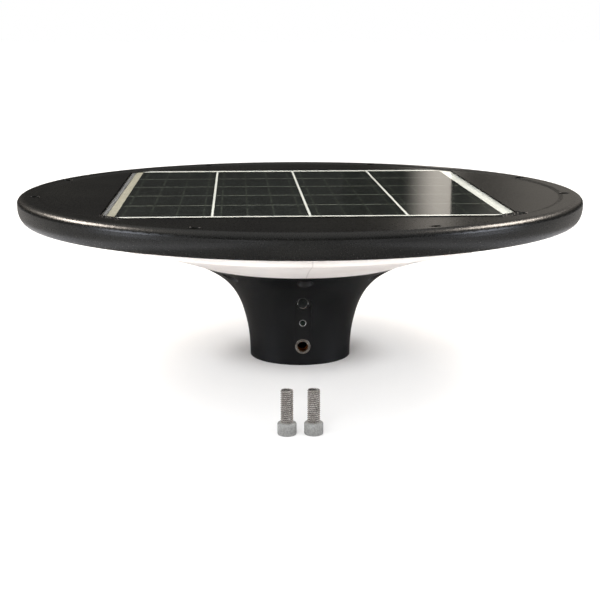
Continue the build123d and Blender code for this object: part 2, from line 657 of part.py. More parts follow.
def sleeve_screws():
    top_z = SLEEVE_SEAT_Z + SLEEVE_FLANGE_T
    return [head_screw(x, y, top_z, 12.0, 3.8, 2.2, 1.7) for x, y in sleeve_screw_spots()]


def clamp_insert(way):
    """Flanged brass insert for a clamp screw; way is -1 at the front and 1 at the back."""
    face_y = way * (INSERT_SEAT_Y + INSERT_FLANGE_T)
    body = rod_y(INSERT_BODY_R, way * (SLEEVE_R + 0.2), way * INSERT_SEAT_Y, CLAMP_Z)
    body += rod_y(INSERT_FLANGE_R, way * INSERT_SEAT_Y, face_y, CLAMP_Z)
    return body - rod_y(INSERT_BORE_R, 0, way * (NECK_R + 9), CLAMP_Z)


def clamp_bolt(x, y):
    """Socket head cap screw standing on its head, thread up."""
    head = rod(BOLT_HEAD_R, 0, BOLT_HEAD_H, x, y)
    head = chamfer(head.edges().filter_by(GeomType.CIRCLE), 0.7)
    shank = rod(BOLT_R, BOLT_HEAD_H, BOLT_HEAD_H + BOLT_LEN, x, y)
    shank = chamfer(shank.edges().group_by(Axis.Z)[-1], 1.2)
    corner_r = BOLT_SOCKET / 2 / math.cos(math.radians(30))
    socket = Pos(x, y, -NUDGE) * extrude(RegularPolygon(corner_r, 6), BOLT_SOCKET_DEPTH + NUDGE)
    return (head + shank) - socket


# ---- controls -----------------------------------------------------------------------
def button_bezel():
    """Black housing: a raised ring on the pocket floor and a barrel through it."""
    body = rod_y(BEZEL_R, BEZEL_FACE_Y, POCKET_Y, BUTTON_Z)
    body += rod_y(BARREL_R, POCKET_Y - 0.5, POCKET_INNER_Y, BUTTON_Z)
    body -= rod_y(BEZEL_INNER_R, BEZEL_FACE_Y - NUDGE, TRIM_BACK_Y, BUTTON_Z)
    body -= rod_y(TRIM_BORE_R, BEZEL_FACE_Y - NUDGE, SEAL_SEAT_Y, BUTTON_Z)
    return body - rod_y(STEM_R + STEM_CLEARANCE, BEZEL_FACE_Y, POCKET_INNER_Y + NUDGE, BUTTON_Z)


def button_trim():
    """Bright ring round the button."""
    ring = tube_y(BEZEL_INNER_R, TRIM_BORE_R, TRIM_BACK_Y, BEZEL_FACE_Y - 0.5, BUTTON_Z)
    return chamfer(ring.edges().filter_by(GeomType.CIRCLE).group_by(Axis.Y)[0], 0.35)


def button_cap():
    cap = rod_y(CAP_R, BEZEL_FACE_Y - 0.2, CAP_BACK_Y, BUTTON_Z)
    cap = fillet(cap.edges().group_by(Axis.Y)[0], 0.5)
    return cap + rod_y(STEM_R, CAP_BACK_Y, STEM_END_Y, BUTTON_Z)


def button_seal():
    """Rubber ring in the barrel, round the stem."""
    return tube_y(TRIM_BORE_R, STEM_R + 0.05, SEAL_SEAT_Y, SEAL_FRONT_Y, BUTTON_Z)


def control_board():
    back_y = CONTROL_BOARD_Y + BOARD_T
    board = block(-11, 11, CONTROL_BOARD_Y, back_y, INDICATOR_Z - 9, BUTTON_Z + 12)
    board = fillet(board.edges().filter_by(Axis.Y), 1.5)
    for x, z in board_screw_spots():
        board -= rod_y(1.3, CONTROL_BOARD_Y - NUDGE, back_y + NUDGE, z, x)
    return board


def control_board_screws():
    screws = []
    for x, z in board_screw_spots():
        head_y = CONTROL_BOARD_Y + BOARD_T
        screw = rod_y(2.0, head_y, head_y + 0.9, z, x)
        screws.append(screw + rod_y(1.0, head_y, CONTROL_BOARD_Y - 4, z, x))
    return screws


def tact_switch():
    body = block(-3, 3, CONTROL_BOARD_Y - SWITCH_T, CONTROL_BOARD_Y, BUTTON_Z - 3, BUTTON_Z + 3)
    return body + rod_y(1.7, PLUNGER_TIP_Y, CONTROL_BOARD_Y - SWITCH_T, BUTTON_Z)


def indicator_bezel():
    flange = tube_y(INDICATOR_FLANGE_R, LENS_R, POCKET_Y, POCKET_Y - 0.8, INDICATOR_Z)
    flange = chamfer(flange.edges().filter_by(GeomType.CIRCLE).group_by(Axis.Y)[0], 0.25)
    return flange + tube_y(INDICATOR_BARREL_R, LENS_R, POCKET_Y, POCKET_INNER_Y, INDICATOR_Z)


def indicator_lens():
    lens = rod_y(LENS_R, POCKET_Y - 0.7, POCKET_INNER_Y - 0.5, INDICATOR_Z)
    return fillet(lens.edges().group_by(Axis.Y)[0], 0.6)


def indicator_led():
    led = rod_y(1.5, CONTROL_BOARD_Y - 4.6, CONTROL_BOARD_Y, INDICATOR_Z)
    return fillet(led.edges().group_by(Axis.Y)[0], 1.2)


# ---- battery and charge controller --------------------------------------------------
def battery_xs():
    return [(k - (BATTERY_CELLS - 1) / 2) * CELL_CAN_PITCH for k in range(BATTERY_CELLS)]


def battery_cells():
    """Round cells side by side, each with a small raised positive cap."""
    cells = []
    for k, x in enumerate(battery_xs()):
        way = 1 if k % 2 else -1
        can = rod_y(CELL_CAN_R, -CELL_CAN_LEN / 2, CELL_CAN_LEN / 2, CELL_AXIS_Z, x)
        can = fillet(can.edges().filter_by(GeomType.CIRCLE), 1.0)
        end = way * CELL_CAN_LEN / 2
        cells.append(can + rod_y(4.5, end - way, end + way * 1.2, CELL_AXIS_Z, x))
    return cells


def battery_tray():
    """Tray with a saddle under each cell."""
    half_x = BATTERY_CELLS * CELL_CAN_PITCH / 2 - 0.5
    half_y = CELL_CAN_LEN / 2 - 3
    tray = block(-half_x, half_x, -half_y, half_y, TRAY_Z, TRAY_Z + 8)
    tray = fillet(tray.edges().filter_by(Axis.Z), 6)
    for x in battery_xs():
        tray -= rod_y(CELL_CAN_R + 0.1, -half_y - 1, half_y + 1, CELL_AXIS_Z, x)
    return tray


def battery_straps():
    """Two flat straps over the cells that end on the tray's sides."""
    half_x = BATTERY_CELLS * CELL_CAN_PITCH / 2 + 0.2
    top_z = CELL_AXIS_Z + CELL_CAN_R + 0.3
    bend_r = CELL_CAN_R - 1.1
    straps = []
    for y in (-20, 20):
        outer = block(-half_x - STRAP_T, half_x + STRAP_T, y - 5, y + 5,
                      TRAY_Z + 1, top_z + STRAP_T)
        outer = fillet(outer.edges().filter_by(Axis.Y).group_by(Axis.Z)[-1], bend_r + STRAP_T)
        inner = block(-half_x, half_x, y - 6, y + 6, TRAY_Z, top_z)
        inner = fillet(inner.edges().filter_by(Axis.Y).group_by(Axis.Z)[-1], bend_r)
        straps.append(outer - inner)
    return straps


def controller_board():
    board = block(CONTROLLER_X - CONTROLLER_W / 2, CONTROLLER_X + CONTROLLER_W / 2,
                  -CONTROLLER_D / 2, CONTROLLER_D / 2, CONTROLLER_Z, CONTROLLER_TOP_Z)
    for x, y in controller_holes():
        board -= rod(1.7, CONTROLLER_Z - NUDGE, CONTROLLER_TOP_Z + NUDGE, x, y)
    return board


def controller_holes():
    """Corner holes of the board, 4 mm in from its edges."""
    x = CONTROLLER_W / 2 - 4
    y = CONTROLLER_D / 2 - 4
    return [(CONTROLLER_X + i * x, j * y) for i in (-1, 1) for j in (-1, 1)]


def controller_posts():
    """Stand-off posts with their screws' heads on top of the board."""
    posts = []
    for x, y in controller_holes():
        post = rod(2.8, CHASSIS_TOP_Z, CONTROLLER_Z, x, y)
        post += rod(1.5, CONTROLLER_Z - NUDGE, CONTROLLER_TOP_Z + NUDGE, x, y)
        posts.append(post + rod(2.6, CONTROLLER_TOP_Z, CONTROLLER_TOP_Z + 1.4, x, y))
    return posts


def controller_parts():
    """Chips, coil and capacitors on the charge controller."""
    z0 = CONTROLLER_TOP_Z
    parts = [block(CONTROLLER_X - 6, CONTROLLER_X + 4, -6, 6, z0, z0 + 1.6)]
    parts += [rod(5.0, z0, z0 + 5, CONTROLLER_X + 12, y) for y in (-18, 18)]
    parts += [rod(2.5, z0, z0 + 5.6, CONTROLLER_X + 18, y) for y in (-6, 0.5, 7)]
    parts += [block(CONTROLLER_X - 2, CONTROLLER_X + 4, y - 4, y + 4, z0, z0 + 2.2)
              for y in (-20, 20)]
    return parts


def controller_terminals():
    return [block(TERMINAL_FACE_X, TERMINAL_FACE_X + 8, y - 5, y + 5,
                  CONTROLLER_TOP_Z, CONTROLLER_TOP_Z + 5.5) for y in TERMINAL_YS]


# ---- inner cables -------------------------------------------------------------------
def cable(points):
    """A cable along straight runs joined by arcs as large as the runs allow."""
    corners = [Vector(*p) for p in points]
    radii = []
    for a, b, c in zip(corners, corners[1:], corners[2:]):
        turn = math.radians((b - a).get_angle(c - b))
        shorter = min((b - a).length, (c - b).length)
        radii.append(0.45 * shorter / math.tan(turn / 2))
    route = FilletPolyline(*[tuple(p) for p in corners], radius=radii)
    start = Plane(origin=route @ 0, z_dir=route % 0)
    print("cable", round(route.length, 1), "radii", [round(r, 1) for r in radii])
    return sweep(start * Circle(CABLE_R), path=route)


def into_terminal(k):
    """The last straight run of a cable, level and square to terminal k."""
    y = TERMINAL_YS[k]
    return [(TERMINAL_FACE_X - 14, y, CABLE_Z), (TERMINAL_FACE_X, y, CABLE_Z)]


def panel_cable():
    """From the side of the terminal box round to the charge controller."""
    x0 = JUNCTION_W / 2
    y0 = JUNCTION_Y + 2
    z0 = (CHASSIS_TOP_Z + 1.5 + BACKSHEET_Z) / 2 - 1
    return cable([(x0, y0, z0), (x0 + 22, y0, z0), (x0 + 46, y0 - 11, z0 + 0.4),
                  (TERMINAL_FACE_X - 36, y0 - 34, CABLE_Z),
                  (TERMINAL_FACE_X - 30, y0 - 62, CABLE_Z), *into_terminal(3)])


def battery_cable():
    """From the end of the last cell, up and over to the charge controller."""
    x0 = battery_xs()[-1]
    end_y = CELL_CAN_LEN / 2 + 1.2
    return cable([(x0, end_y, CELL_AXIS_Z), (x0, end_y + 9, CELL_AXIS_Z),
                  (x0 + 6, end_y + 14, CELL_AXIS_Z + 11), (x0 + 15, end_y + 8, CABLE_Z - 3),
                  (TERMINAL_FACE_X - 45, 30, CABLE_Z + 1),
                  (TERMINAL_FACE_X - 29, 16, CABLE_Z + 0.5), *into_terminal(2)])


def led_cable():
    """From the LED board up through the chassis."""
    x0, y0 = LED_CABLE_HOLE
    return cable([(x0, y0, CHASSIS_Z), (x0, y0, CHASSIS_Z + 5.5),
                  (x0 + 3, y0 - 2, CABLE_Z - 0.6), *into_terminal(1)])


def control_cable():
    """From the control board up through the neck's roof to the charge controller."""
    board_y = CONTROL_BOARD_Y + BOARD_T / 2
    hole_x, hole_y = CABLE_HOLE
    return cable([(hole_x, board_y, BUTTON_Z + 12), (hole_x, board_y, BUTTON_Z + 16.5),
                  (hole_x, board_y - 11, BUTTON_Z + 19.4), (hole_x, hole_y + 1, BUTTON_Z + 20.2),
                  (hole_x, hole_y, NECK_TOP_Z - 1), (hole_x, hole_y - 0.5, NECK_TOP_Z + 13),
                  (hole_x + 10, hole_y + 1, CABLE_Z - 22.8),
                  (hole_x + 26, hole_y + 5, CABLE_Z - 11.3),
                  (TERMINAL_FACE_X - 75, hole_y + 10, CABLE_Z - 2.3),
                  (TERMINAL_FACE_X - 45, hole_y + 22, CABLE_Z + 1),
                  (TERMINAL_FACE_X - 26, hole_y + 34, CABLE_Z + 0.5), *into_terminal(0)])


# ---- write every node ---------------------------------------------------------------
save("top_cover", top_cover())
save("cover_screws", cover_screws())
save("panel_backsheet", panel_plate(0, BACKSHEET_Z, BACKSHEET_Z + BACKSHEET_T))
save("solar_cells", solar_cells())
save("cell_ribbons", cell_ribbons())
save("panel_glass", panel_plate(0, GLASS_Z, GLASS_TOP_Z))
save("panel_sealant", panel_sealant())
save("panel_junction_box", panel_junction_box())
save("bottom_shell", bottom_shell())
save("rim_gasket", rim_gasket())
save("diffuser", diffuser())
save("upper_gasket", upper_gasket())
save("lower_gasket", lower_gasket())
save("chassis", chassis())
save("chassis_screws", chassis_screws())
save("led_board", led_board())
save("led_chips", led_chips())
save("led_screws", led_screws())
save("reflector", reflector())
save("neck_shell", neck_shell())
save("neck_screws", neck_screws())
save("pole_sleeve", pole_sleeve())
save("sleeve_screws", sleeve_screws())
save("clamp_insert_front", clamp_insert(-1))
save("clamp_insert_rear", clamp_insert(1))
save("clamp_bolt_left", clamp_bolt(*BOLT_SPOTS[0]))
save("clamp_bolt_right", clamp_bolt(*BOLT_SPOTS[1]))
save("button_bezel", button_bezel())
save("button_trim", button_trim())
save("button_cap", button_cap())
save("button_seal", button_seal())
save("control_board", control_board())
save("control_board_screws", control_board_screws())
save("tact_switch", tact_switch())
save("indicator_bezel", indicator_bezel())
save("indicator_lens", indicator_lens())
save("indicator_led", indicator_led())
save("battery_cells", battery_cells())
save("battery_tray", battery_tray())
save("battery_straps", battery_straps())
save("controller_board", controller_board())
save("controller_posts", controller_posts())
save("controller_parts", controller_parts())
save("controller_terminals", controller_terminals())
save("panel_cable", panel_cable())
save("battery_cable", battery_cable())
save("led_cable", led_cable())
save("control_cable", control_cable())
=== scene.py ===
import bpy
import math
import random
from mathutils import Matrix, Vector


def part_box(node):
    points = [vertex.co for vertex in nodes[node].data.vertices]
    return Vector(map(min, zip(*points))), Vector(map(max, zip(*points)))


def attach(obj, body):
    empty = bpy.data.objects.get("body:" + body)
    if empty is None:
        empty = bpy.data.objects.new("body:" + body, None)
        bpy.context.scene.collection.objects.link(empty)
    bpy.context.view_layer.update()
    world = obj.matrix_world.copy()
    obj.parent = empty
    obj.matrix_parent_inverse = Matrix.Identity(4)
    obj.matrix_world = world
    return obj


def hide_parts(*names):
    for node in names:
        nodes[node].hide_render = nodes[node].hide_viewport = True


# Solar post-top light with its two loose clamp screws.
# The CAD nodes keep their shapes and get their finishes here; the screws, the threaded
# inserts, the button, the indicator and the silicone bead are modelled here in detail.

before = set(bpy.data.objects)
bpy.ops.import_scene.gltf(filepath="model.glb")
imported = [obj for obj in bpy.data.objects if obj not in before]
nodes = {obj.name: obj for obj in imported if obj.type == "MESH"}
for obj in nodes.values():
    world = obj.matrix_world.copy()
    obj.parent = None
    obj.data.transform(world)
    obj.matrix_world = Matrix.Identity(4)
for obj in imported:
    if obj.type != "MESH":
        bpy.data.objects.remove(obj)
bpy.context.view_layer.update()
random.seed(12)
MM = 0.001


# ---- finishes: the two builders -------------------------------------------------------
def colour(hex_code):
    """An sRGB hex colour as linear red, green, blue and alpha."""
    parts = [int(hex_code[i:i + 2], 16) / 255 for i in (1, 3, 5)]
    linear = [p / 12.92 if p <= 0.04045 else ((p + 0.055) / 1.055) ** 2.4 for p in parts]
    return (*linear, 1.0)


def add(owner, kind, settings=None, links=None, inputs=None):
    """Adds a node to a material or a world, with its settings, its links and its values."""
    tree = owner.node_tree
    node = tree.nodes.new(kind)
    for name, value in (settings or {}).items():
        setattr(node, name, value)
    for socket, value in (inputs or {}).items():
        node.inputs[socket].default_value = value
    for socket, source in (links or {}).items():
        tree.links.new(source, node.inputs[socket])
    return node


def blank(collection, name):
    """A new material or world with an empty node tree."""
    owner = collection.new(name)
    owner.use_nodes = True
    owner.node_tree.nodes.clear()
    return owner


def finish(name, tones, gloss, drift_mm, grain_mm, depth_mm, edge_mm=0.3,
           stretch=(1, 1, 1), pattern=None, **sockets):
    """A worked surface with a real grain.

    Its colour drifts between two tones over drift_mm.  Its roughness moves between the two
    values of gloss with a grain of grain_mm, which is depth_mm deep, and its edges are eased
    by edge_mm.  A pattern may lay lines or a weave over it: it takes the material, the place,
    the colour and the height, and gives back the colour and the height.
    """
    material = blank(bpy.data.materials, name)
    where = add(material, "ShaderNodeTexCoord").outputs["Object"]
    drawn = add(material, "ShaderNodeMapping", links={"Vector": where},
                inputs={"Scale": stretch}).outputs["Vector"]
    drift = add(material, "ShaderNodeTexNoise", links={"Vector": where},
                inputs={"Scale": 1 / (drift_mm * MM), "Detail": 4.0}).outputs["Fac"]
    share = add(material, "ShaderNodeMapRange", links={"Value": drift},
                inputs={"From Min": 0.35, "From Max": 0.65}).outputs["Result"]
    tone = add(material, "ShaderNodeMix", {"data_type": "RGBA"}, {0: share},
               {6: colour(tones[0]), 7: colour(tones[1])}).outputs[2]
    grain = add(material, "ShaderNodeTexNoise", links={"Vector": drawn},
                inputs={"Scale": 1 / (grain_mm * MM), "Detail": 3.0}).outputs["Fac"]
    shine = add(material, "ShaderNodeMapRange", links={"Value": grain},
                inputs={"From Min": 0.3, "From Max": 0.7,
                        "To Min": gloss[0], "To Max": gloss[1]}).outputs["Result"]
    if pattern:
        tone, grain = pattern(material, where, tone, grain)
    edge = add(material, "ShaderNodeBevel", {"samples": 4},
               inputs={"Radius": edge_mm * MM}).outputs["Normal"]
    relief = add(material, "ShaderNodeBump", links={"Height": grain, "Normal": edge},
                 inputs={"Distance": depth_mm * MM}).outputs["Normal"]
    shader = add(material, "ShaderNodeBsdfPrincipled", inputs=sockets,
                 links={"Base Color": tone, "Roughness": shine, "Normal": relief})
    add(material, "ShaderNodeOutputMaterial", links={"Surface": shader.outputs["BSDF"]})
    return material


# ---- finishes: mouldings --------------------------------------------------------------
def cover_abs():
    """Textured black ABS: near black with a faint olive cast and a soft satin sheen.

    The spark-eroded texture is about 0.3 mm: drawn at 0.9 mm so that it shows.
    """
    return finish("spark_eroded_black_abs", ("#0a0a09", "#11110f"), (0.24, 0.34), 60, 0.9,
                  0.004, 0.6, **{"IOR": 1.52})


def shell_abs():
    """The same ABS from a plainer mould: slightly lighter, with a flatter sheen.

    Its fine texture is drawn at 0.9 mm too, so that it shows.
    """
    return finish("fine_textured_black_abs", ("#0f100d", "#161713"), (0.28, 0.4), 45, 0.9,
                  0.004, 0.6, **{"IOR": 1.52})


def neck_abs():
    """Finely textured ABS, with a soft cool sheen where light grazes the flare.

    Its fine texture is drawn at 0.8 mm, so that it shows.
    """
    return finish("satin_black_abs", ("#0e0e0f", "#151617"), (0.3, 0.44), 30, 0.8,
                  0.012, 0.5, **{"IOR": 1.54})


def bezel_abs():
    """Polished mould: a gloss black ring with small sharp highlights."""
    return finish("gloss_black_abs", ("#070808", "#0d0e0e"), (0.08, 0.16), 8, 0.6, 0.002,
                  0.25, **{"IOR": 1.54})


def cap_pbt():
    """Button plastic with a spark-eroded face: dark grey-green and slightly rough."""
    return finish("spark_eroded_pbt", ("#151918", "#232826"), (0.3, 0.5), 1.5, 0.3, 0.01,
                  0.15, **{"IOR": 1.57})


def lens_acrylic():
    """Smoked acrylic: deep green-black, glossy all over."""
    return finish("smoked_acrylic", ("#0c1410", "#16231c"), (0.06, 0.12), 2, 0.4, 0.001,
                  0.1, **{"IOR": 1.49})


def seam_line(material, where, tone, height):
    """The fine mould line down the front of the cone, 1.2 mm wide."""
    place = add(material, "ShaderNodeSeparateXYZ", links={0: where})
    near = add(material, "ShaderNodeMath", {"operation": "COMPARE"}, {0: place.outputs["X"]},
               {1: 0.0, 2: 0.6 * MM}).outputs[0]
    front = add(material, "ShaderNodeMath", {"operation": "LESS_THAN"},
                {0: place.outputs["Y"]}, {1: 0.0}).outputs[0]
    line = add(material, "ShaderNodeMath", {"operation": "MULTIPLY"}, {0: near, 1: front})
    faint = add(material, "ShaderNodeMath", {"operation": "MULTIPLY"},
                {0: line.outputs[0]}, {1: 0.35}).outputs[0]
    lined = add(material, "ShaderNodeMix", {"data_type": "RGBA"}, {0: faint, 6: tone},
                {7: colour("#a9a19c")}).outputs[2]
    return lined, height


def diffuser_polycarbonate():
    """Frosted polycarbonate: milky and faintly warm, with light scattered inside the wall."""
    return finish("frosted_polycarbonate", ("#efebe8", "#e2dcd9"), (0.38, 0.5), 55, 0.6,
                  0.006, 0.3, pattern=seam_line,
                  **{"IOR": 1.58, "Subsurface Weight": 0.3, "Subsurface Scale": 3 * MM,
                     "Subsurface Radius": (1.0, 0.9, 0.85)})


# ---- finishes: the solar panel --------------------------------------------------------
def panel_glass():
    """Tempered low-iron glass: its top mirrors and bends sight lines down to the laminate.

    The laminate is bonded to the lower face, which therefore neither bends nor mirrors light.
    """
    material = blank(bpy.data.materials, "tempered_low_iron_glass")
    where = add(material, "ShaderNodeTexCoord").outputs["Object"]
    # Rollers leave waves about 60 mm long in tempered glass.
    waves = add(material, "ShaderNodeTexNoise", links={"Vector": where},
                inputs={"Scale": 1 / (60 * MM), "Detail": 1.0}).outputs["Fac"]
    relief = add(material, "ShaderNodeBump", links={"Height": waves},
                 inputs={"Distance": 0.05 * MM}).outputs["Normal"]
    shape = add(material, "ShaderNodeNewGeometry")
    facing = add(material, "ShaderNodeSeparateXYZ", links={0: shape.outputs["True Normal"]})
    top = add(material, "ShaderNodeMath", {"operation": "GREATER_THAN"},
              {0: facing.outputs["Z"]}, {1: 0.5}).outputs[0]
    path = add(material, "ShaderNodeLightPath").outputs["Is Camera Ray"]
    seen_top = add(material, "ShaderNodeMath", {"operation": "MULTIPLY"},
                   {0: top, 1: path}).outputs[0]
    clear = add(material, "ShaderNodeBsdfTransparent", inputs={"Color": colour("#f7f9f8")})
    bent = add(material, "ShaderNodeBsdfRefraction", inputs={"IOR": 1.5, "Roughness": 0.0})
    shine = add(material, "ShaderNodeBsdfGlossy", links={"Normal": relief},
                inputs={"Roughness": 0.06})
    mirror = add(material, "ShaderNodeFresnel", inputs={"IOR": 1.5}).outputs["Fac"]
    outer = add(material, "ShaderNodeMixShader",
                links={0: mirror, 1: bent.outputs[0], 2: shine.outputs[0]})
    both = add(material, "ShaderNodeMixShader",
               links={0: seen_top, 1: clear.outputs[0], 2: outer.outputs[0]})
    add(material, "ShaderNodeOutputMaterial", links={"Surface": both.outputs[0]})
    return material


def finger_lines(material, where, tone, height):
    """Silver fingers across a cell.  They are 0.05 mm wide: drawn 0.16 mm so that they show."""
    pitch = 1.6 * MM
    place = add(material, "ShaderNodeSeparateXYZ", links={0: where})
    count = add(material, "ShaderNodeMath", {"operation": "DIVIDE"}, {0: place.outputs["Y"]},
                {1: pitch}).outputs[0]
    phase = add(material, "ShaderNodeMath", {"operation": "FRACT"}, {0: count}).outputs[0]
    line = add(material, "ShaderNodeMath", {"operation": "LESS_THAN"}, {0: phase},
               {1: 0.16 * MM / pitch}).outputs[0]
    lined = add(material, "ShaderNodeMix", {"data_type": "RGBA"}, {0: line, 6: tone},
                {7: colour("#3c403d")}).outputs[2]
    return lined, height


def cell_silicon():
    """Monocrystalline silicon under a dark coat: green-black, with hair-fine fingers."""
    return finish("monocrystalline_silicon", ("#0c0e0c", "#141715"), (0.3, 0.42), 38, 0.5,
                  0.002, 0.05, pattern=finger_lines, **{"IOR": 1.6})


def ribbon_copper():
    """Tinned copper ribbon dulled by the laminate: a grey line a little above the cells."""
    return finish("tinned_copper_ribbon", ("#343732", "#4a4e48"), (0.34, 0.5), 12, 0.4,
                  0.004, 0.05, **{"Metallic": 0.3})


CELL_COLUMNS = 4
COLUMN_GAP = 2.0 * MM


def row_gap_shade_mask(material, where):
    """One under each column of cells: the backsheet there shows only in the narrow gaps between
    rows, which get painted shade.
    """
    low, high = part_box("solar_cells")
    pitch = (high[0] - low[0] + COLUMN_GAP) / CELL_COLUMNS
    place = add(material, "ShaderNodeSeparateXYZ", links={0: where})
    start_x = add(material, "ShaderNodeMath", {"operation": "SUBTRACT"},
                  {0: place.outputs["X"]}, {1: low[0]}).outputs[0]
    count = add(material, "ShaderNodeMath", {"operation": "DIVIDE"}, {0: start_x},
                {1: pitch}).outputs[0]
    phase = add(material, "ShaderNodeMath", {"operation": "FRACT"}, {0: count}).outputs[0]
    column = add(material, "ShaderNodeMath", {"operation": "LESS_THAN"}, {0: phase},
                 {1: 1 - COLUMN_GAP / pitch}).outputs[0]
    half = (high[0] - low[0]) / 2
    across = add(material, "ShaderNodeMath", {"operation": "COMPARE"},
                 {0: place.outputs["X"]}, {1: 0.0, 2: half}).outputs[0]
    along = add(material, "ShaderNodeMath", {"operation": "COMPARE"},
                {0: place.outputs["Y"]}, {1: 0.0, 2: (high[1] - low[1]) / 2}).outputs[0]
    inside = add(material, "ShaderNodeMath", {"operation": "MULTIPLY"},
                 {0: across, 1: along}).outputs[0]
    return add(material, "ShaderNodeMath", {"operation": "MULTIPLY"},
               {0: inside, 1: column}).outputs[0]


def cloth_mark(material, where, tone, height):
    """The lamination cloth's marks, the darker bus strip behind the left border, and painted
    shade, a grey tone, in the narrow gaps between rows of cells.

    The cloth's threads are 0.5 mm apart: its marks are drawn 1.1 mm apart so that they show.
    """
    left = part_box("panel_backsheet")[0][0]
    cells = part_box("solar_cells")[0][0]
    strip = left + 3.4 * MM
    place = add(material, "ShaderNodeSeparateXYZ", links={0: where}).outputs["X"]
    marks = add(material, "ShaderNodeTexVoronoi", links={"Vector": where},
                inputs={"Scale": 1 / (1.1 * MM)}).outputs["Distance"]
    border = add(material, "ShaderNodeMath", {"operation": "LESS_THAN"}, {0: place},
                 {1: cells}).outputs[0]
    dots = add(material, "ShaderNodeMix", {"data_type": "RGBA"}, {0: marks},
               {6: colour("#d8d2c3"), 7: colour("#a59d8c")}).outputs[2]
    tone = add(material, "ShaderNodeMix", {"data_type": "RGBA"},
               {0: border, 6: tone, 7: dots}).outputs[2]
    bus = add(material, "ShaderNodeMath", {"operation": "LESS_THAN"}, {0: place},
              {1: strip}).outputs[0]
    tone = add(material, "ShaderNodeMix", {"data_type": "RGBA"}, {0: bus, 6: tone},
               {7: colour("#aaa7a9")}).outputs[2]
    gap = add(material, "ShaderNodeMath", {"operation": "COMPARE"}, {0: place},
              {1: strip, 2: 0.35 * MM}).outputs[0]
    tone = add(material, "ShaderNodeMix", {"data_type": "RGBA"}, {0: gap, 6: tone},
               {7: colour("#6f6c68")}).outputs[2]
    # Painted shade: under the cells the backsheet is drawn grey, and it shows only in the narrow
    # gaps between rows.
    under = row_gap_shade_mask(material, where)
    tone = add(material, "ShaderNodeMix", {"data_type": "RGBA"}, {0: under, 6: tone},
               {7: colour("#85887f")}).outputs[2]
    return tone, marks


def backsheet_film():
    """White polymer backsheet, marked by the lamination cloth, with painted shade in the narrow
    gaps between rows of cells.
    """
    return finish("white_pet_backsheet", ("#fffefa", "#f4f2ec"), (0.4, 0.55), 25, 0.8,
                  0.02, 0.1, pattern=cloth_mark, **{"IOR": 1.5})


def silicone_sealant():
    """Neutral-cure black silicone: a wet-looking skin on a lumpy, hand-laid bead."""
    return finish("black_silicone_sealant", ("#060606", "#10100f"), (0.1, 0.26), 4, 1.6,
                  0.12, 0.2, **{"IOR": 1.43})


# ---- finishes: metals -----------------------------------------------------------------
def shaded_roots(material, where, tone, height):
    """Painted shade in the roots of a thread, within 0.9 mm of its flanks."""
    open_sky = add(material, "ShaderNodeAmbientOcclusion", {"samples": 8},
                   inputs={"Distance": 0.9 * MM}).outputs["AO"]
    share = add(material, "ShaderNodeMapRange", links={"Value": open_sky},
                inputs={"From Min": 0.45, "From Max": 0.95}).outputs["Result"]
    # Painted shade: where ambient occlusion finds the flanks close, the tone darkens to warm dark
    # grey.
    shaded = add(material, "ShaderNodeMix", {"data_type": "RGBA"}, {0: share, 7: tone},
                 {6: colour("#2b2724")}).outputs[2]
    return shaded, height


def thread_steel():
    """Rolled stainless thread: bright crests, and painted shade in warm dark grey in the roots."""
    return finish("rolled_stainless_thread", ("#b3ada7", "#dcd8d3"), (0.2, 0.32), 3, 0.35,
                  0.004, 0.08, pattern=shaded_roots, **{"Metallic": 0.7})


def head_steel():
    """Knurled and tumbled stainless: an even, matt light grey with a fine sparkle."""
    return finish("tumbled_stainless_head", ("#989896", "#b9b9b6"), (0.42, 0.6), 1.2, 0.4,
                  0.03, 0.15, **{"Metallic": 0.55})


def pan_head_steel():
    """Cold-formed stainless screw: bright, with faint forming marks."""
    return finish("cold_formed_stainless", ("#b1b1af", "#c9c9c6"), (0.24, 0.36), 4, 0.4,
                  0.004, 0.15, **{"Metallic": 1.0})


def black_oxide_steel():
    """Black oxide on steel: dull blue-black, a little polished on the high spots."""
    return finish("black_oxide_steel", ("#1b1b1c", "#33332f"), (0.3, 0.45), 3, 0.4, 0.006,
                  0.12, **{"Metallic": 0.8})


def zinc_plate():
    """Zinc-plated tube: cool silver with a cloudy passivated bloom."""
    return finish("zinc_plated_steel", ("#a8adb3", "#bfc2c4"), (0.26, 0.42), 14, 1.0, 0.006,
                  0.3, **{"Metallic": 1.0})


def nickel_plate():
    """Nickel over turned brass: warm silver, bright on the turned edges."""
    return finish("nickel_plated_brass", ("#d0c8bd", "#eee8df"), (0.12, 0.24), 3, 0.3, 0.003,
                  0.08, **{"Metallic": 1.0})


def turned_brass():
    """Bare turned brass: brown in the shade of the thread, gold on its crests."""
    return finish("turned_brass", ("#9a6a34", "#cf9c58"), (0.14, 0.26), 3, 0.3, 0.003,
                  0.08, **{"Metallic": 1.0})


def bright_chrome():
    """Bright chrome on the trim rings: mirror-like, with a trace of haze."""
    return finish("bright_chrome_plate", ("#d5d6d5", "#e6e6e4"), (0.05, 0.1), 4, 0.5, 0.001,
                  0.08, **{"Metallic": 1.0})


def cast_aluminium():
    """Die-cast aluminium: pale grey with a pebbled skin from the die."""
    return finish("die_cast_aluminium", ("#9fa2a5", "#b8babb"), (0.42, 0.58), 22, 0.9, 0.05,
                  0.5, **{"Metallic": 1.0})


# ---- finishes: inside the head --------------------------------------------------------
def epdm_rubber():
    """Moulded EPDM: dead matt black with a dusty bloom."""
    return finish("epdm_rubber", ("#121212", "#20201f"), (0.62, 0.8), 10, 0.6, 0.02, 0.3)


def pvc_jacket():
    """Extruded PVC: satin black with slight ripples along the cable."""
    return finish("pvc_cable_jacket", ("#101011", "#1b1b1c"), (0.36, 0.5), 6, 1.2, 0.02, 0.1)


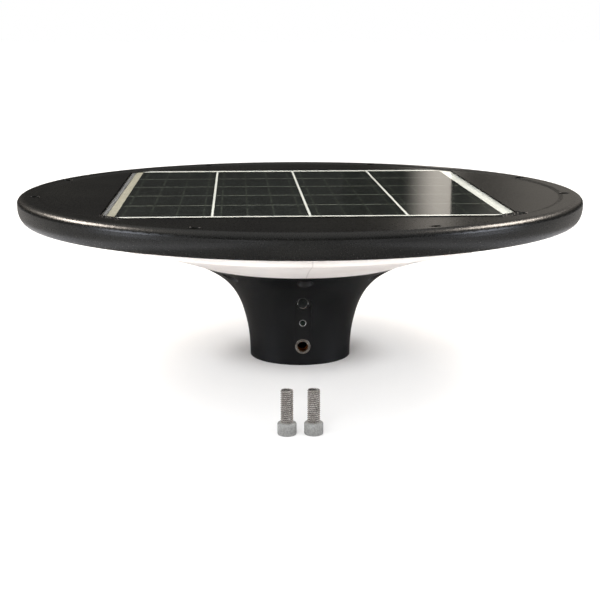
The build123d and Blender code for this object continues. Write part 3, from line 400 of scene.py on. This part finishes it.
def shrink_wrap():
    """PVC shrink sleeve on the cells: glossy blue with small tucks."""
    return finish("blue_pvc_shrink_sleeve", ("#1a4684", "#2a60a4"), (0.16, 0.28), 8, 2.5,
                  0.05, 0.3, stretch=(1, 0.3, 1))


def tray_nylon():
    """Glass-filled nylon: dark grey with a swirl of fibres at the skin."""
    return finish("glass_filled_nylon", ("#1f1f1f", "#2f2f2d"), (0.48, 0.62), 12, 0.7, 0.02,
                  0.4, stretch=(1, 4, 1))


def epoxy_moulding():
    """Transfer-moulded epoxy: charcoal, evenly matt."""
    return finish("epoxy_moulding_compound", ("#151516", "#222223"), (0.45, 0.58), 3, 0.2,
                  0.008, 0.15)


def terminal_nylon():
    """Green nylon of the screw terminals, with a waxy shine."""
    return finish("green_nylon", ("#1a6432", "#2a8045"), (0.36, 0.48), 4, 0.3, 0.006, 0.2)


def reflector_film():
    """White PET film bent into a cone: bright and almost matt."""
    return finish("white_pet_reflector", ("#f4f4f1", "#e9e9e5"), (0.42, 0.54), 25, 0.5,
                  0.004, 0.1)


def tinted_epoxy():
    """The indicator's LED: red-tinted clear epoxy, very glossy."""
    return finish("tinted_led_epoxy", ("#b13a28", "#d0604a"), (0.06, 0.12), 1, 0.3, 0.001, 0.1)


def phosphor_silicone():
    """Phosphor-filled silicone over the LEDs: egg-yolk yellow, slightly grainy."""
    return finish("phosphor_silicone", ("#e8d671", "#d9b93a"), (0.28, 0.4), 1.2, 0.15,
                  0.01, 0.1)


def copper_tracks(material, where, tone, height):
    """Tracks under the solder mask, in a 4 mm by 2 mm run."""
    tracks = add(material, "ShaderNodeTexBrick", {"offset": 0.5}, {"Vector": where, "Color1": tone,
                 "Color2": tone}, {"Scale": 1.0, "Mortar Size": 0.12 * MM,
                 "Brick Width": 4 * MM, "Row Height": 2 * MM, "Mortar": colour("#5f7d4a")})
    return tracks.outputs["Color"], tracks.outputs["Fac"]


def green_board():
    """Green solder mask over etched copper: glossy, with slightly raised tracks."""
    return finish("green_solder_mask", ("#0d4520", "#155c2c"), (0.2, 0.32), 15, 0.5, 0.02,
                  0.1, pattern=copper_tracks)


def white_board():
    """White solder mask round the LEDs: clean and half glossy."""
    return finish("white_solder_mask", ("#eff0ec", "#e2e4de"), (0.26, 0.38), 18, 0.5, 0.004,
                  0.1)


def web_ribs(material, where, tone, height):
    """Ribs across the strap, 1.2 mm apart, with painted shade in their troughs."""
    ribs = add(material, "ShaderNodeTexWave", {"bands_direction": "X"}, {"Vector": where},
               {"Scale": 1 / (1.2 * MM * 2 * math.pi), "Distortion": 0.5}).outputs["Fac"]
    # Painted shade: the tone is halved where the ribs are lowest.
    shaded = add(material, "ShaderNodeMix", {"data_type": "RGBA", "blend_type": "MULTIPLY"},
                 {6: tone, 7: ribs}, {0: 0.5}).outputs[2]
    return shaded, ribs


def nylon_web():
    """Woven nylon strap: matt black with ribs across it, darkened in their troughs by painted
    shade.
    """
    return finish("woven_nylon_web", ("#1c1c1d", "#2b2b2d"), (0.7, 0.85), 5, 0.3, 0.15, 0.1,
                  pattern=web_ribs)


# ---- shaping helpers ------------------------------------------------------------------
def start(primitive, **settings):
    """Adds a primitive with nothing else selected, and returns it."""
    if bpy.context.mode != "OBJECT":
        bpy.ops.object.mode_set(mode="OBJECT")
    bpy.ops.object.select_all(action="DESELECT")
    primitive(**settings)
    return bpy.context.active_object


def done(piece, name, material, body, stands_for=None, smooth_deg=35):
    """Freezes a piece's place into its mesh, smooths it, and ties it to its body."""
    if bpy.context.mode != "OBJECT":
        bpy.ops.object.mode_set(mode="OBJECT")
    bpy.ops.object.select_all(action="DESELECT")
    piece.select_set(True)
    bpy.context.view_layer.objects.active = piece
    bpy.ops.object.transform_apply(location=True, rotation=True, scale=True)
    bpy.ops.object.shade_smooth_by_angle(angle=math.radians(smooth_deg))
    piece.name = name
    piece.data.name = name
    piece.data.materials.append(material)
    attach(piece, body)
    if stands_for:
        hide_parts(stands_for)
    return piece


def close_up(piece):
    """Merges doubles and turns the faces outwards."""
    if bpy.context.mode != "EDIT_MESH":
        bpy.ops.object.mode_set(mode="EDIT")
    bpy.ops.mesh.select_all(action="SELECT")
    bpy.ops.mesh.remove_doubles(threshold=0.01 * MM)
    bpy.ops.mesh.normals_make_consistent(inside=False)
    bpy.ops.object.mode_set(mode="OBJECT")
    return piece


def drawn_outline(points):
    """A chain of edges drawn from point to point, left in edit mode."""
    piece = start(bpy.ops.mesh.primitive_plane_add, size=MM)
    bpy.ops.object.mode_set(mode="EDIT")
    bpy.ops.mesh.select_all(action="SELECT")
    bpy.ops.mesh.merge(type="CENTER")
    bpy.ops.transform.translate(value=points[0])
    for a, b in zip(points, points[1:]):
        step = [q - p for p, q in zip(a, b)]
        bpy.ops.mesh.extrude_region_move(TRANSFORM_OT_translate={"value": step})
    return piece


def turned(points, centre, axis, steps):
    """Spins an outline a full turn into a closed solid."""
    piece = drawn_outline(points)
    bpy.ops.mesh.select_all(action="SELECT")
    bpy.ops.mesh.spin(steps=steps, angle=2 * math.pi, center=centre, axis=axis)
    return close_up(piece)


def turned_upright(outline, steps):
    """A solid turned about Z, from (radius, height) pairs."""
    return turned([(r, 0, z) for r, z in outline], (0, 0, 0), (0, 0, 1), steps)


def turned_level(outline, z, steps):
    """A solid turned about a level axis along Y at height z, from (radius, y) pairs in mm."""
    points = [(r * MM, y * MM, z) for r, y in outline]
    return turned(points, (0, 0, z), (0, 1, 0), steps)


def combine(piece, tool, operation):
    """Cuts a piece with a tool, or keeps what both share, and removes the tool."""
    cut = piece.modifiers.new("combine", "BOOLEAN")
    cut.object = tool
    cut.operation = operation
    bpy.context.view_layer.objects.active = piece
    bpy.ops.object.modifier_apply(modifier=cut.name)
    bpy.data.objects.remove(tool)


def size_of(node):
    """The low corner, the high corner and the middle of a node, in millimetres."""
    low, high = [[v / MM for v in corner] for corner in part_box(node)]
    return low, high, [(a + b) / 2 for a, b in zip(low, high)]


# ---- pieces: the loose clamp screws ---------------------------------------------------
THREAD_PITCH = 25.4 / 16 * MM       # sixteen threads to the inch
THREAD_R = 4.7625 * MM
ROOT_R = 3.95 * MM
TIP_CHAMFER = 1.1 * MM
HEAD_R = 7.1 * MM
HEAD_H = 9.5 * MM
HEAD_EASE = 0.75 * MM
SOCKET_R = 4.62 * MM                # corners of the hexagon, 8 mm across its flats
SOCKET_DEPTH = 5.0 * MM
KNURLS = 52
KNURL_SHARE = 0.958                 # of the radius left at the foot of each knurl
THREAD_STEPS = 40                   # faces round one turn of the thread


def threaded_rod(low, high):
    """A helical thread between two heights, with a chamfered tip."""
    p = THREAD_PITCH
    chain = [(ROOT_R, 0.0), (ROOT_R, 0.1), (THREAD_R, 0.46), (THREAD_R, 0.6),
             (ROOT_R, 0.96), (ROOT_R, 1.0)]
    piece = drawn_outline([(r, 0, low + (share - 2) * p) for r, share in chain])
    bpy.ops.object.mode_set(mode="OBJECT")
    screw = piece.modifiers.new("thread", "SCREW")
    screw.axis = "Z"
    screw.screw_offset = p
    screw.iterations = int((high - low) / p) + 4
    screw.steps = THREAD_STEPS
    screw.render_steps = THREAD_STEPS
    screw.use_merge_vertices = True
    screw.merge_threshold = 0.01 * MM
    bpy.ops.object.modifier_apply(modifier="thread")
    bpy.ops.object.mode_set(mode="EDIT")
    for height, below in ((low, True), (high, False)):
        bpy.ops.mesh.select_all(action="SELECT")
        bpy.ops.mesh.bisect(plane_co=(0, 0, height), plane_no=(0, 0, 1), use_fill=True,
                            clear_inner=below, clear_outer=not below)
    close_up(piece)
    room = 2 * MM
    blank_rod = turned_upright([(0, low - room), (THREAD_R + room, low - room),
                                (THREAD_R + room, high - TIP_CHAMFER - room),
                                (THREAD_R - TIP_CHAMFER, high), (0, high)], THREAD_STEPS)
    combine(piece, blank_rod, "INTERSECT")
    return piece


def knurled_head():
    """The round head: eased ends, a knurled side, and a hexagon socket in its underside."""
    c = HEAD_EASE
    sides = KNURLS * 2
    piece = turned_upright([
        (0, 0), (HEAD_R - 1.4 * c, 0), (HEAD_R - 0.4 * c, 0.5 * c), (HEAD_R, 1.4 * c),
        (HEAD_R, HEAD_H / 2), (HEAD_R, HEAD_H - 1.6 * c), (HEAD_R - 0.5 * c, HEAD_H - 0.5 * c),
        (HEAD_R - 1.6 * c, HEAD_H), (0, HEAD_H)], sides)
    bpy.ops.object.mode_set(mode="EDIT")
    bpy.ops.mesh.select_all(action="DESELECT")
    bpy.ops.object.mode_set(mode="OBJECT")
    for corner in piece.data.vertices:
        turn = round(math.atan2(corner.co.y, corner.co.x) / (2 * math.pi / sides))
        on_side = math.hypot(corner.co.x, corner.co.y) > HEAD_R - 0.02 * MM
        corner.select = on_side and turn % 2 == 1
    bpy.ops.object.mode_set(mode="EDIT")
    bpy.ops.transform.resize(value=(KNURL_SHARE, KNURL_SHARE, 1), center_override=(0, 0, 0))
    bpy.ops.object.mode_set(mode="OBJECT")
    hexagon = start(bpy.ops.mesh.primitive_cylinder_add, vertices=6, radius=SOCKET_R,
                    depth=2 * SOCKET_DEPTH, location=(0, 0, 0))
    combine(piece, hexagon, "DIFFERENCE")
    return piece


def clamp_screw(node, body, thread_finish, head_finish):
    """Socket head cap screw standing on its head."""
    _, high, (x, y, _) = size_of(node)
    for piece, part, finish_, stands_for in (
            (threaded_rod(HEAD_H - 0.2 * MM, high[2] * MM), "_thread", thread_finish, node),
            (knurled_head(), "_head", head_finish, None)):
        piece.location = (x * MM, y * MM, 0)
        done(piece, node + part, finish_, body, stands_for, 30)


# ---- pieces: the threaded inserts, the button and the indicator -----------------------
def threaded_insert(node, way, flange_finish, thread_finish):
    """Flanged insert: a thin bright rim, a dished face, a bright mouth and a brass thread."""
    low, high, (_, _, z) = size_of(node)
    face = way * (low[1] if way < 0 else high[1])
    inner = way * (high[1] if way < 0 else low[1])
    mouth = face - 2.2
    ring = [(6.9, face - 1.1), (6.9, face - 0.25), (6.7, face), (6.35, face),
            (6.1, face - 0.35), (5.35, face - 0.4), (5.1, face - 0.05), (4.75, face - 0.05),
            (4.3, face - 0.8), (4.3, mouth), (5.8, mouth), (5.8, face - 1.1),
            (6.9, face - 1.1)]
    flange = turned_level([(r, y * way) for r, y in ring], z * MM, 72)
    done(flange, node + "_flange", flange_finish, "lamp", node, 30)
    pitch = THREAD_PITCH / MM
    turns = int((mouth - inner) / pitch)
    wall = [(5.8, mouth), (4.35, mouth)]
    for k in range(turns):
        groove = mouth - k * pitch
        wall += [(4.75, groove - pitch * 0.5), (4.2, groove - pitch)]
    wall += [(5.8, mouth - turns * pitch), (5.8, mouth)]
    bore = turned_level([(r, y * way) for r, y in wall], z * MM, 56)
    done(bore, node + "_thread", thread_finish, "lamp", None, 30)


def button_pieces(chrome, cap_finish):
    """Bright trim ring, and a cap with rings moulded in its face."""
    low, high, (_, _, z) = size_of("button_trim")
    front, back = low[1], high[1]
    ring = [(5.25, back), (5.25, front + 0.7), (5.05, front + 0.25), (4.7, front),
            (4.35, front + 0.12), (4.08, front + 0.5), (3.98, front + 1.0), (3.98, back),
            (5.25, back)]
    done(turned_level(ring, z * MM, 72), "button_trim_ring", chrome, "lamp",
         "button_trim", 40)
    low, high, _ = size_of("button_cap")
    face, end = low[1], high[1]
    shoulder = size_of("button_trim")[1][1] - 0.2
    profile = [(0, face + 0.25), (0.6, face + 0.15)]
    for k in range(4):
        r = 0.9 + k * 0.65
        profile += [(r, face + 0.32), (r + 0.2, face + 0.02), (r + 0.42, face + 0.05)]
    profile += [(3.55, face + 0.3), (3.9, face + 0.75), (3.9, shoulder), (2.0, shoulder),
                (2.0, end), (0, end)]
    done(turned_level(profile, z * MM, 64), "button_cap_ringed", cap_finish, "button",
         "button_cap", 30)


def indicator_pieces(chrome, lens_finish):
    """Small bright ring round a domed smoked lens."""
    low, high, (_, _, z) = size_of("indicator_bezel")
    front, back = low[1], high[1]
    ring = [(2.6, back), (2.6, front + 0.8), (3.4, front + 0.8), (3.4, front + 0.35),
            (3.2, front + 0.08), (2.85, front), (2.5, front + 0.1), (2.2, front + 0.5),
            (2.12, front + 1.0), (2.12, back), (2.6, back)]
    done(turned_level(ring, z * MM, 56), "indicator_ring", chrome, "lamp",
         "indicator_bezel", 40)
    low, high, _ = size_of("indicator_lens")
    front, back = low[1], high[1]
    dome = [(0, front), (0.7, front + 0.05), (1.3, front + 0.2), (1.75, front + 0.45),
            (2.05, front + 0.85), (2.08, back), (0, back)]
    done(turned_level(dome, z * MM, 48), "indicator_dome", lens_finish, "lamp",
         "indicator_lens", 50)


# ---- pieces: the silicone round the glass ---------------------------------------------
SEALANT_W = 1.5 * MM
CORNER_CUT = 18.0 * MM
BEAD_FOOT = 1.2 * MM                # below the glass's top
BEAD_H = 1.35 * MM
BEAD_CUTS = 40                      # extra points along each side of the bead


def sealant_bead(sealant):
    """The hand-laid silicone bead that follows the edge of the glass."""
    _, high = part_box("panel_glass")
    half_x = high[0] + SEALANT_W
    half_y = high[1] + SEALANT_W
    foot = high[2] - BEAD_FOOT
    piece = start(bpy.ops.mesh.primitive_plane_add, size=2, location=(0, 0, foot))
    bpy.ops.object.mode_set(mode="EDIT")
    bpy.ops.mesh.select_all(action="SELECT")
    bpy.ops.transform.resize(value=(half_x, half_y, 1), center_override=(0, 0, 0))
    bpy.ops.mesh.bevel(offset=CORNER_CUT, segments=1, affect="VERTICES",
                       offset_type="OFFSET")
    bpy.ops.mesh.select_all(action="SELECT")
    bpy.ops.mesh.inset(thickness=SEALANT_W * 0.94, use_boundary=True)
    bpy.ops.mesh.delete(type="FACE")
    bpy.ops.mesh.select_all(action="SELECT")
    bpy.ops.mesh.subdivide(number_cuts=BEAD_CUTS)
    bpy.ops.mesh.extrude_region_move(TRANSFORM_OT_translate={"value": (0, 0, BEAD_H)})
    bpy.ops.transform.vertex_random(offset=0.22 * MM, uniform=1.0, seed=5)
    close_up(piece)
    done(piece, "sealant_bead", sealant, "lamp", "panel_sealant", 60)


def sealant_lumps(sealant):
    """Squeezed-out lumps by the front corners of the glass, flattened on the deck."""
    low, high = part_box("panel_glass")
    deck = high[2] - 0.3 * MM
    lumps = []
    for side, count, spread, largest in ((1, 26, 9.0, 2.4), (-1, 9, 6.0, 1.1)):
        for _ in range(count):
            along = random.uniform(-0.15, 1.1)
            out = random.uniform(0.6, spread) * MM
            size = random.uniform(0.7, largest) * MM
            x = high[0] - CORNER_CUT * along + out * 0.7
            y = low[1] + CORNER_CUT * (1 - along) - out * 0.7
            lump = start(bpy.ops.mesh.primitive_ico_sphere_add, subdivisions=3, radius=size,
                         location=(side * x, y, deck))
            bpy.ops.object.mode_set(mode="EDIT")
            bpy.ops.transform.resize(value=(random.uniform(0.9, 1.9), 1.0,
                                            random.uniform(0.25, 0.5)))
            bpy.ops.transform.vertex_random(offset=0.22 * size, seed=len(lumps))
            bpy.ops.mesh.vertices_smooth(factor=0.5, repeat=2)
            bpy.ops.object.mode_set(mode="OBJECT")
            lumps.append(lump)
    bpy.ops.object.select_all(action="DESELECT")
    for lump in lumps:
        lump.select_set(True)
    bpy.context.view_layer.objects.active = lumps[0]
    bpy.ops.object.join()
    done(lumps[0], "sealant_lumps", sealant, "lamp", None, 60)


# ---- stage ----------------------------------------------------------------------------
def studio_world():
    """White behind the object; to its gloss, a dim room that grows lighter overhead."""
    world = blank(bpy.data.worlds, "studio")
    bpy.context.scene.world = world
    way = add(world, "ShaderNodeTexCoord").outputs["Generated"]
    up = add(world, "ShaderNodeSeparateXYZ", links={0: way}).outputs["Z"]
    light = add(world, "ShaderNodeMapRange", links={"Value": up},
                inputs={"From Min": 0.25, "From Max": 0.95, "To Min": 0.012, "To Max": 0.45})
    room = add(world, "ShaderNodeBackground", links={"Color": light.outputs["Result"]})
    white = add(world, "ShaderNodeBackground", inputs={"Color": colour("#ffffff")})
    path = add(world, "ShaderNodeLightPath")
    both = add(world, "ShaderNodeMixShader", links={
        0: path.outputs["Is Camera Ray"], 1: room.outputs[0], 2: white.outputs[0]})
    add(world, "ShaderNodeOutputWorld", links={"Surface": both.outputs[0]})


def floor_board():
    """Matt white board; to the camera alone it also glows, painted light that washes out its cast
    shadow, and the glow stops short of the neck's foot.

    Gloss sees it grey, with a white card laid on it to either side of the light.
    """
    material = blank(bpy.data.materials, "matt_white_board")
    where = add(material, "ShaderNodeTexCoord").outputs["Object"]
    drift = add(material, "ShaderNodeTexNoise", links={"Vector": where},
                inputs={"Scale": 2.5, "Detail": 2.0}).outputs["Fac"]
    tone = add(material, "ShaderNodeMix", {"data_type": "RGBA"}, {0: drift},
               {6: colour("#fdfdfd"), 7: colour("#f9f9f8")}).outputs[2]
    white = add(material, "ShaderNodeBsdfDiffuse", links={"Color": tone})
    glow = add(material, "ShaderNodeEmission", links={"Color": tone})
    away = add(material, "ShaderNodeVectorMath", {"operation": "LENGTH"}, {0: where})
    lit = add(material, "ShaderNodeMapRange", links={"Value": away.outputs["Value"]},
              inputs={"From Min": 50 * MM, "From Max": 90 * MM, "To Max": 0.5})
    # Painted light: seen by the camera only, the board glows, none within 50 mm of the pole and up
    # to half beyond 90 mm, to wash out its cast shadow.
    painted_shadow_wash = add(material, "ShaderNodeMixShader", links={0: lit.outputs["Result"],
                1: white.outputs[0], 2: glow.outputs[0]})
    x = add(material, "ShaderNodeSeparateXYZ", links={0: where}).outputs["X"]
    aside = add(material, "ShaderNodeMath", {"operation": "ABSOLUTE"}, {0: x}).outputs[0]
    near = add(material, "ShaderNodeMapRange", {"interpolation_type": "SMOOTHSTEP"},
               {"Value": aside}, {"From Min": 0.2, "From Max": 0.3}).outputs["Result"]
    far = add(material, "ShaderNodeMapRange", {"interpolation_type": "SMOOTHSTEP"},
              {"Value": aside}, {"From Min": 0.5, "From Max": 0.36}).outputs["Result"]
    share = add(material, "ShaderNodeMath", {"operation": "MULTIPLY"},
                {0: near, 1: far}).outputs[0]
    card = add(material, "ShaderNodeMix", {"data_type": "RGBA"}, {0: share},
               {6: colour("#747474"), 7: colour("#b9bbc0")}).outputs[2]
    cards = add(material, "ShaderNodeBsdfDiffuse", links={"Color": card})
    path = add(material, "ShaderNodeLightPath")
    seen = add(material, "ShaderNodeMixShader", links={
        0: path.outputs["Is Camera Ray"], 1: white.outputs[0], 2: painted_shadow_wash.outputs[0]})
    both = add(material, "ShaderNodeMixShader", links={
        0: path.outputs["Is Glossy Ray"], 1: seen.outputs[0], 2: cards.outputs[0]})
    add(material, "ShaderNodeOutputMaterial", links={"Surface": both.outputs[0]})
    return material


FLOOR_W = 80                        # metres: it reaches the horizon


def floor():
    """Plain pale floor, large enough to reach the horizon."""
    piece = start(bpy.ops.mesh.primitive_plane_add, size=FLOOR_W, location=(0, 0, 0))
    piece.name = "floor"
    piece.data.materials.append(floor_board())


def back_glow():
    """Glow of the back card, along X: a warm streak, a dark gap, then a dim brown stretch."""
    material = blank(bpy.data.materials, "back_card_glow")
    where = add(material, "ShaderNodeTexCoord").outputs["Object"]
    x = add(material, "ShaderNodeSeparateXYZ", links={0: where}).outputs["X"]
    rise = add(material, "ShaderNodeMapRange", {"interpolation_type": "SMOOTHSTEP"},
               {"Value": x}, {"From Min": 0.50, "From Max": 0.63}).outputs["Result"]
    stop = add(material, "ShaderNodeMath", {"operation": "LESS_THAN"}, {0: x},
               {1: 0.668}).outputs[0]
    streak = add(material, "ShaderNodeMath", {"operation": "MULTIPLY"},
                 {0: rise, 1: stop}).outputs[0]
    wide = add(material, "ShaderNodeMapRange", {"interpolation_type": "SMOOTHSTEP"},
               {"Value": x}, {"From Min": 0.70, "From Max": 1.0, "To Min": 0.0,
                              "To Max": 0.34}).outputs["Result"]
    glow = add(material, "ShaderNodeMath", {"operation": "ADD"}, {0: streak, 1: wide})
    shine = add(material, "ShaderNodeEmission", links={"Strength": glow.outputs[0]},
                inputs={"Color": colour("#fff6ea")})
    add(material, "ShaderNodeOutputMaterial", links={"Surface": shine.outputs[0]})
    return material


CARD_SIZE = (1.6, 1.0)
CARD_PLACE = (1.1, 3.0, 0.75)


def back_card():
    """A card far behind the light that only its gloss sees."""
    piece = start(bpy.ops.mesh.primitive_plane_add, size=1, location=(0, 0, 0))
    bpy.ops.object.mode_set(mode="EDIT")
    bpy.ops.mesh.select_all(action="SELECT")
    bpy.ops.transform.resize(value=(*CARD_SIZE, 1), center_override=(0, 0, 0))
    bpy.ops.transform.rotate(value=math.radians(90), orient_axis="X",
                             center_override=(0, 0, 0))
    bpy.ops.transform.translate(value=CARD_PLACE)
    bpy.ops.object.mode_set(mode="OBJECT")
    piece.name = "back_card"
    piece.data.materials.append(back_glow())
    piece.visible_camera = False
    piece.visible_diffuse = False
    piece.visible_shadow = False


def soft_box(name, at, aim, width, height, watts, tint="#ffffff"):
    """A rectangular soft box, out of the camera's sight."""
    data = bpy.data.lights.new(name, "AREA")
    data.shape = "RECTANGLE"
    data.size = width
    data.size_y = height
    data.energy = watts
    data.color = colour(tint)[:3]
    light = bpy.data.objects.new(name, data)
    bpy.context.scene.collection.objects.link(light)
    light.location = at
    light.rotation_euler = (Vector(aim) - Vector(at)).to_track_quat("-Z", "Y").to_euler()
    light.visible_camera = False
    return light


def ceiling():
    """A very wide soft light from above, which keeps the floor evenly white."""
    data = bpy.data.lights.new("ceiling", "SUN")
    data.energy = 2.9
    data.angle = math.radians(110)
    light = bpy.data.objects.new("ceiling", data)
    bpy.context.scene.collection.objects.link(light)
    light.visible_camera = False
    light.visible_glossy = False


def lights():
    head = (0, 0, 0.14)
    neck = (0, -0.1, 0.05)
    ceiling()
    soft_box("left_box", (-1.35, 0.75, 1.35), head, 0.8, 0.5, 30, "#fff3e6")
    soft_box("right_box", (1.25, 0.55, 1.4), head, 0.8, 0.5, 26, "#fff3e6")
    soft_box("left_fill", (-1.7, -0.7, 0.35), neck, 0.7, 0.7, 9, "#eef3ff")
    soft_box("right_fill", (1.7, -0.7, 0.35), neck, 0.7, 0.7, 9, "#eef3ff")
    front = soft_box("front_fill", (-0.5, -1.7, 0.8), neck, 0.7, 0.6, 22)
    front.visible_glossy = False


# ---- camera ---------------------------------------------------------------------------
CAMERA_BACK = 1.1034                # from the pole's axis, level
CAMERA_HEIGHT = 0.2902
CAMERA_TURN = math.radians(2.97)    # it stands a little to the left of the controls
CAMERA_TILT = math.radians(12.3)


def camera():
    data = bpy.data.cameras.new("camera")
    data.lens = 73.5
    data.sensor_width = 36
    eye = bpy.data.objects.new("camera", data)
    bpy.context.scene.collection.objects.link(eye)
    eye.location = (-CAMERA_BACK * math.sin(CAMERA_TURN),
                    -CAMERA_BACK * math.cos(CAMERA_TURN), CAMERA_HEIGHT)
    eye.rotation_euler = (math.radians(90) - CAMERA_TILT, 0, -CAMERA_TURN)
    bpy.context.scene.camera = eye


# ---- put it together ------------------------------------------------------------------
def dress(material, *names):
    """Gives a finish to CAD nodes."""
    for name in names:
        nodes[name].data.materials.clear()
        nodes[name].data.materials.append(material)


def dress_nodes(shared):
    dress(cover_abs(), "top_cover")
    dress(shell_abs(), "bottom_shell")
    dress(neck_abs(), "neck_shell")
    dress(bezel_abs(), "button_bezel")
    dress(shared["cap"], "button_cap")
    dress(shared["lens"], "indicator_lens")
    dress(diffuser_polycarbonate(), "diffuser")
    dress(panel_glass(), "panel_glass")
    dress(cell_silicon(), "solar_cells")
    dress(ribbon_copper(), "cell_ribbons")
    dress(backsheet_film(), "panel_backsheet")
    dress(shared["sealant"], "panel_sealant")
    dress(shared["chrome"], "button_trim", "indicator_bezel")
    dress(black_oxide_steel(), "cover_screws", "neck_screws")
    dress(pan_head_steel(), "chassis_screws", "led_screws", "sleeve_screws",
          "control_board_screws")
    dress(shared["thread"], "clamp_bolt_left", "clamp_bolt_right")
    dress(zinc_plate(), "pole_sleeve")
    dress(shared["brass"], "clamp_insert_front", "clamp_insert_rear", "controller_posts")
    dress(cast_aluminium(), "chassis")
    dress(epdm_rubber(), "rim_gasket", "upper_gasket", "lower_gasket", "button_seal")
    dress(pvc_jacket(), "panel_cable", "battery_cable", "led_cable", "control_cable")
    dress(shrink_wrap(), "battery_cells")
    dress(tray_nylon(), "battery_tray", "panel_junction_box")
    dress(nylon_web(), "battery_straps")
    dress(epoxy_moulding(), "controller_parts", "tact_switch")
    dress(terminal_nylon(), "controller_terminals")
    dress(reflector_film(), "reflector")
    dress(tinted_epoxy(), "indicator_led")
    dress(phosphor_silicone(), "led_chips")
    dress(green_board(), "controller_board", "control_board")
    dress(white_board(), "led_board")


shared = {
    "sealant": silicone_sealant(),
    "chrome": bright_chrome(),
    "thread": thread_steel(),
    "head": head_steel(),
    "nickel": nickel_plate(),
    "brass": turned_brass(),
    "cap": cap_pbt(),
    "lens": lens_acrylic(),
}

camera()
dress_nodes(shared)
for side in ("left", "right"):
    clamp_screw(f"clamp_bolt_{side}", f"bolt_{side}", shared["thread"], shared["head"])
for node, way in (("clamp_insert_front", -1), ("clamp_insert_rear", 1)):
    threaded_insert(node, way, shared["nickel"], shared["brass"])
button_pieces(shared["chrome"], shared["cap"])
indicator_pieces(shared["chrome"], shared["lens"])
sealant_bead(shared["sealant"])
sealant_lumps(shared["sealant"])

floor()
back_card()
studio_world()
lights()
bpy.context.scene.view_settings.view_transform = "Standard"
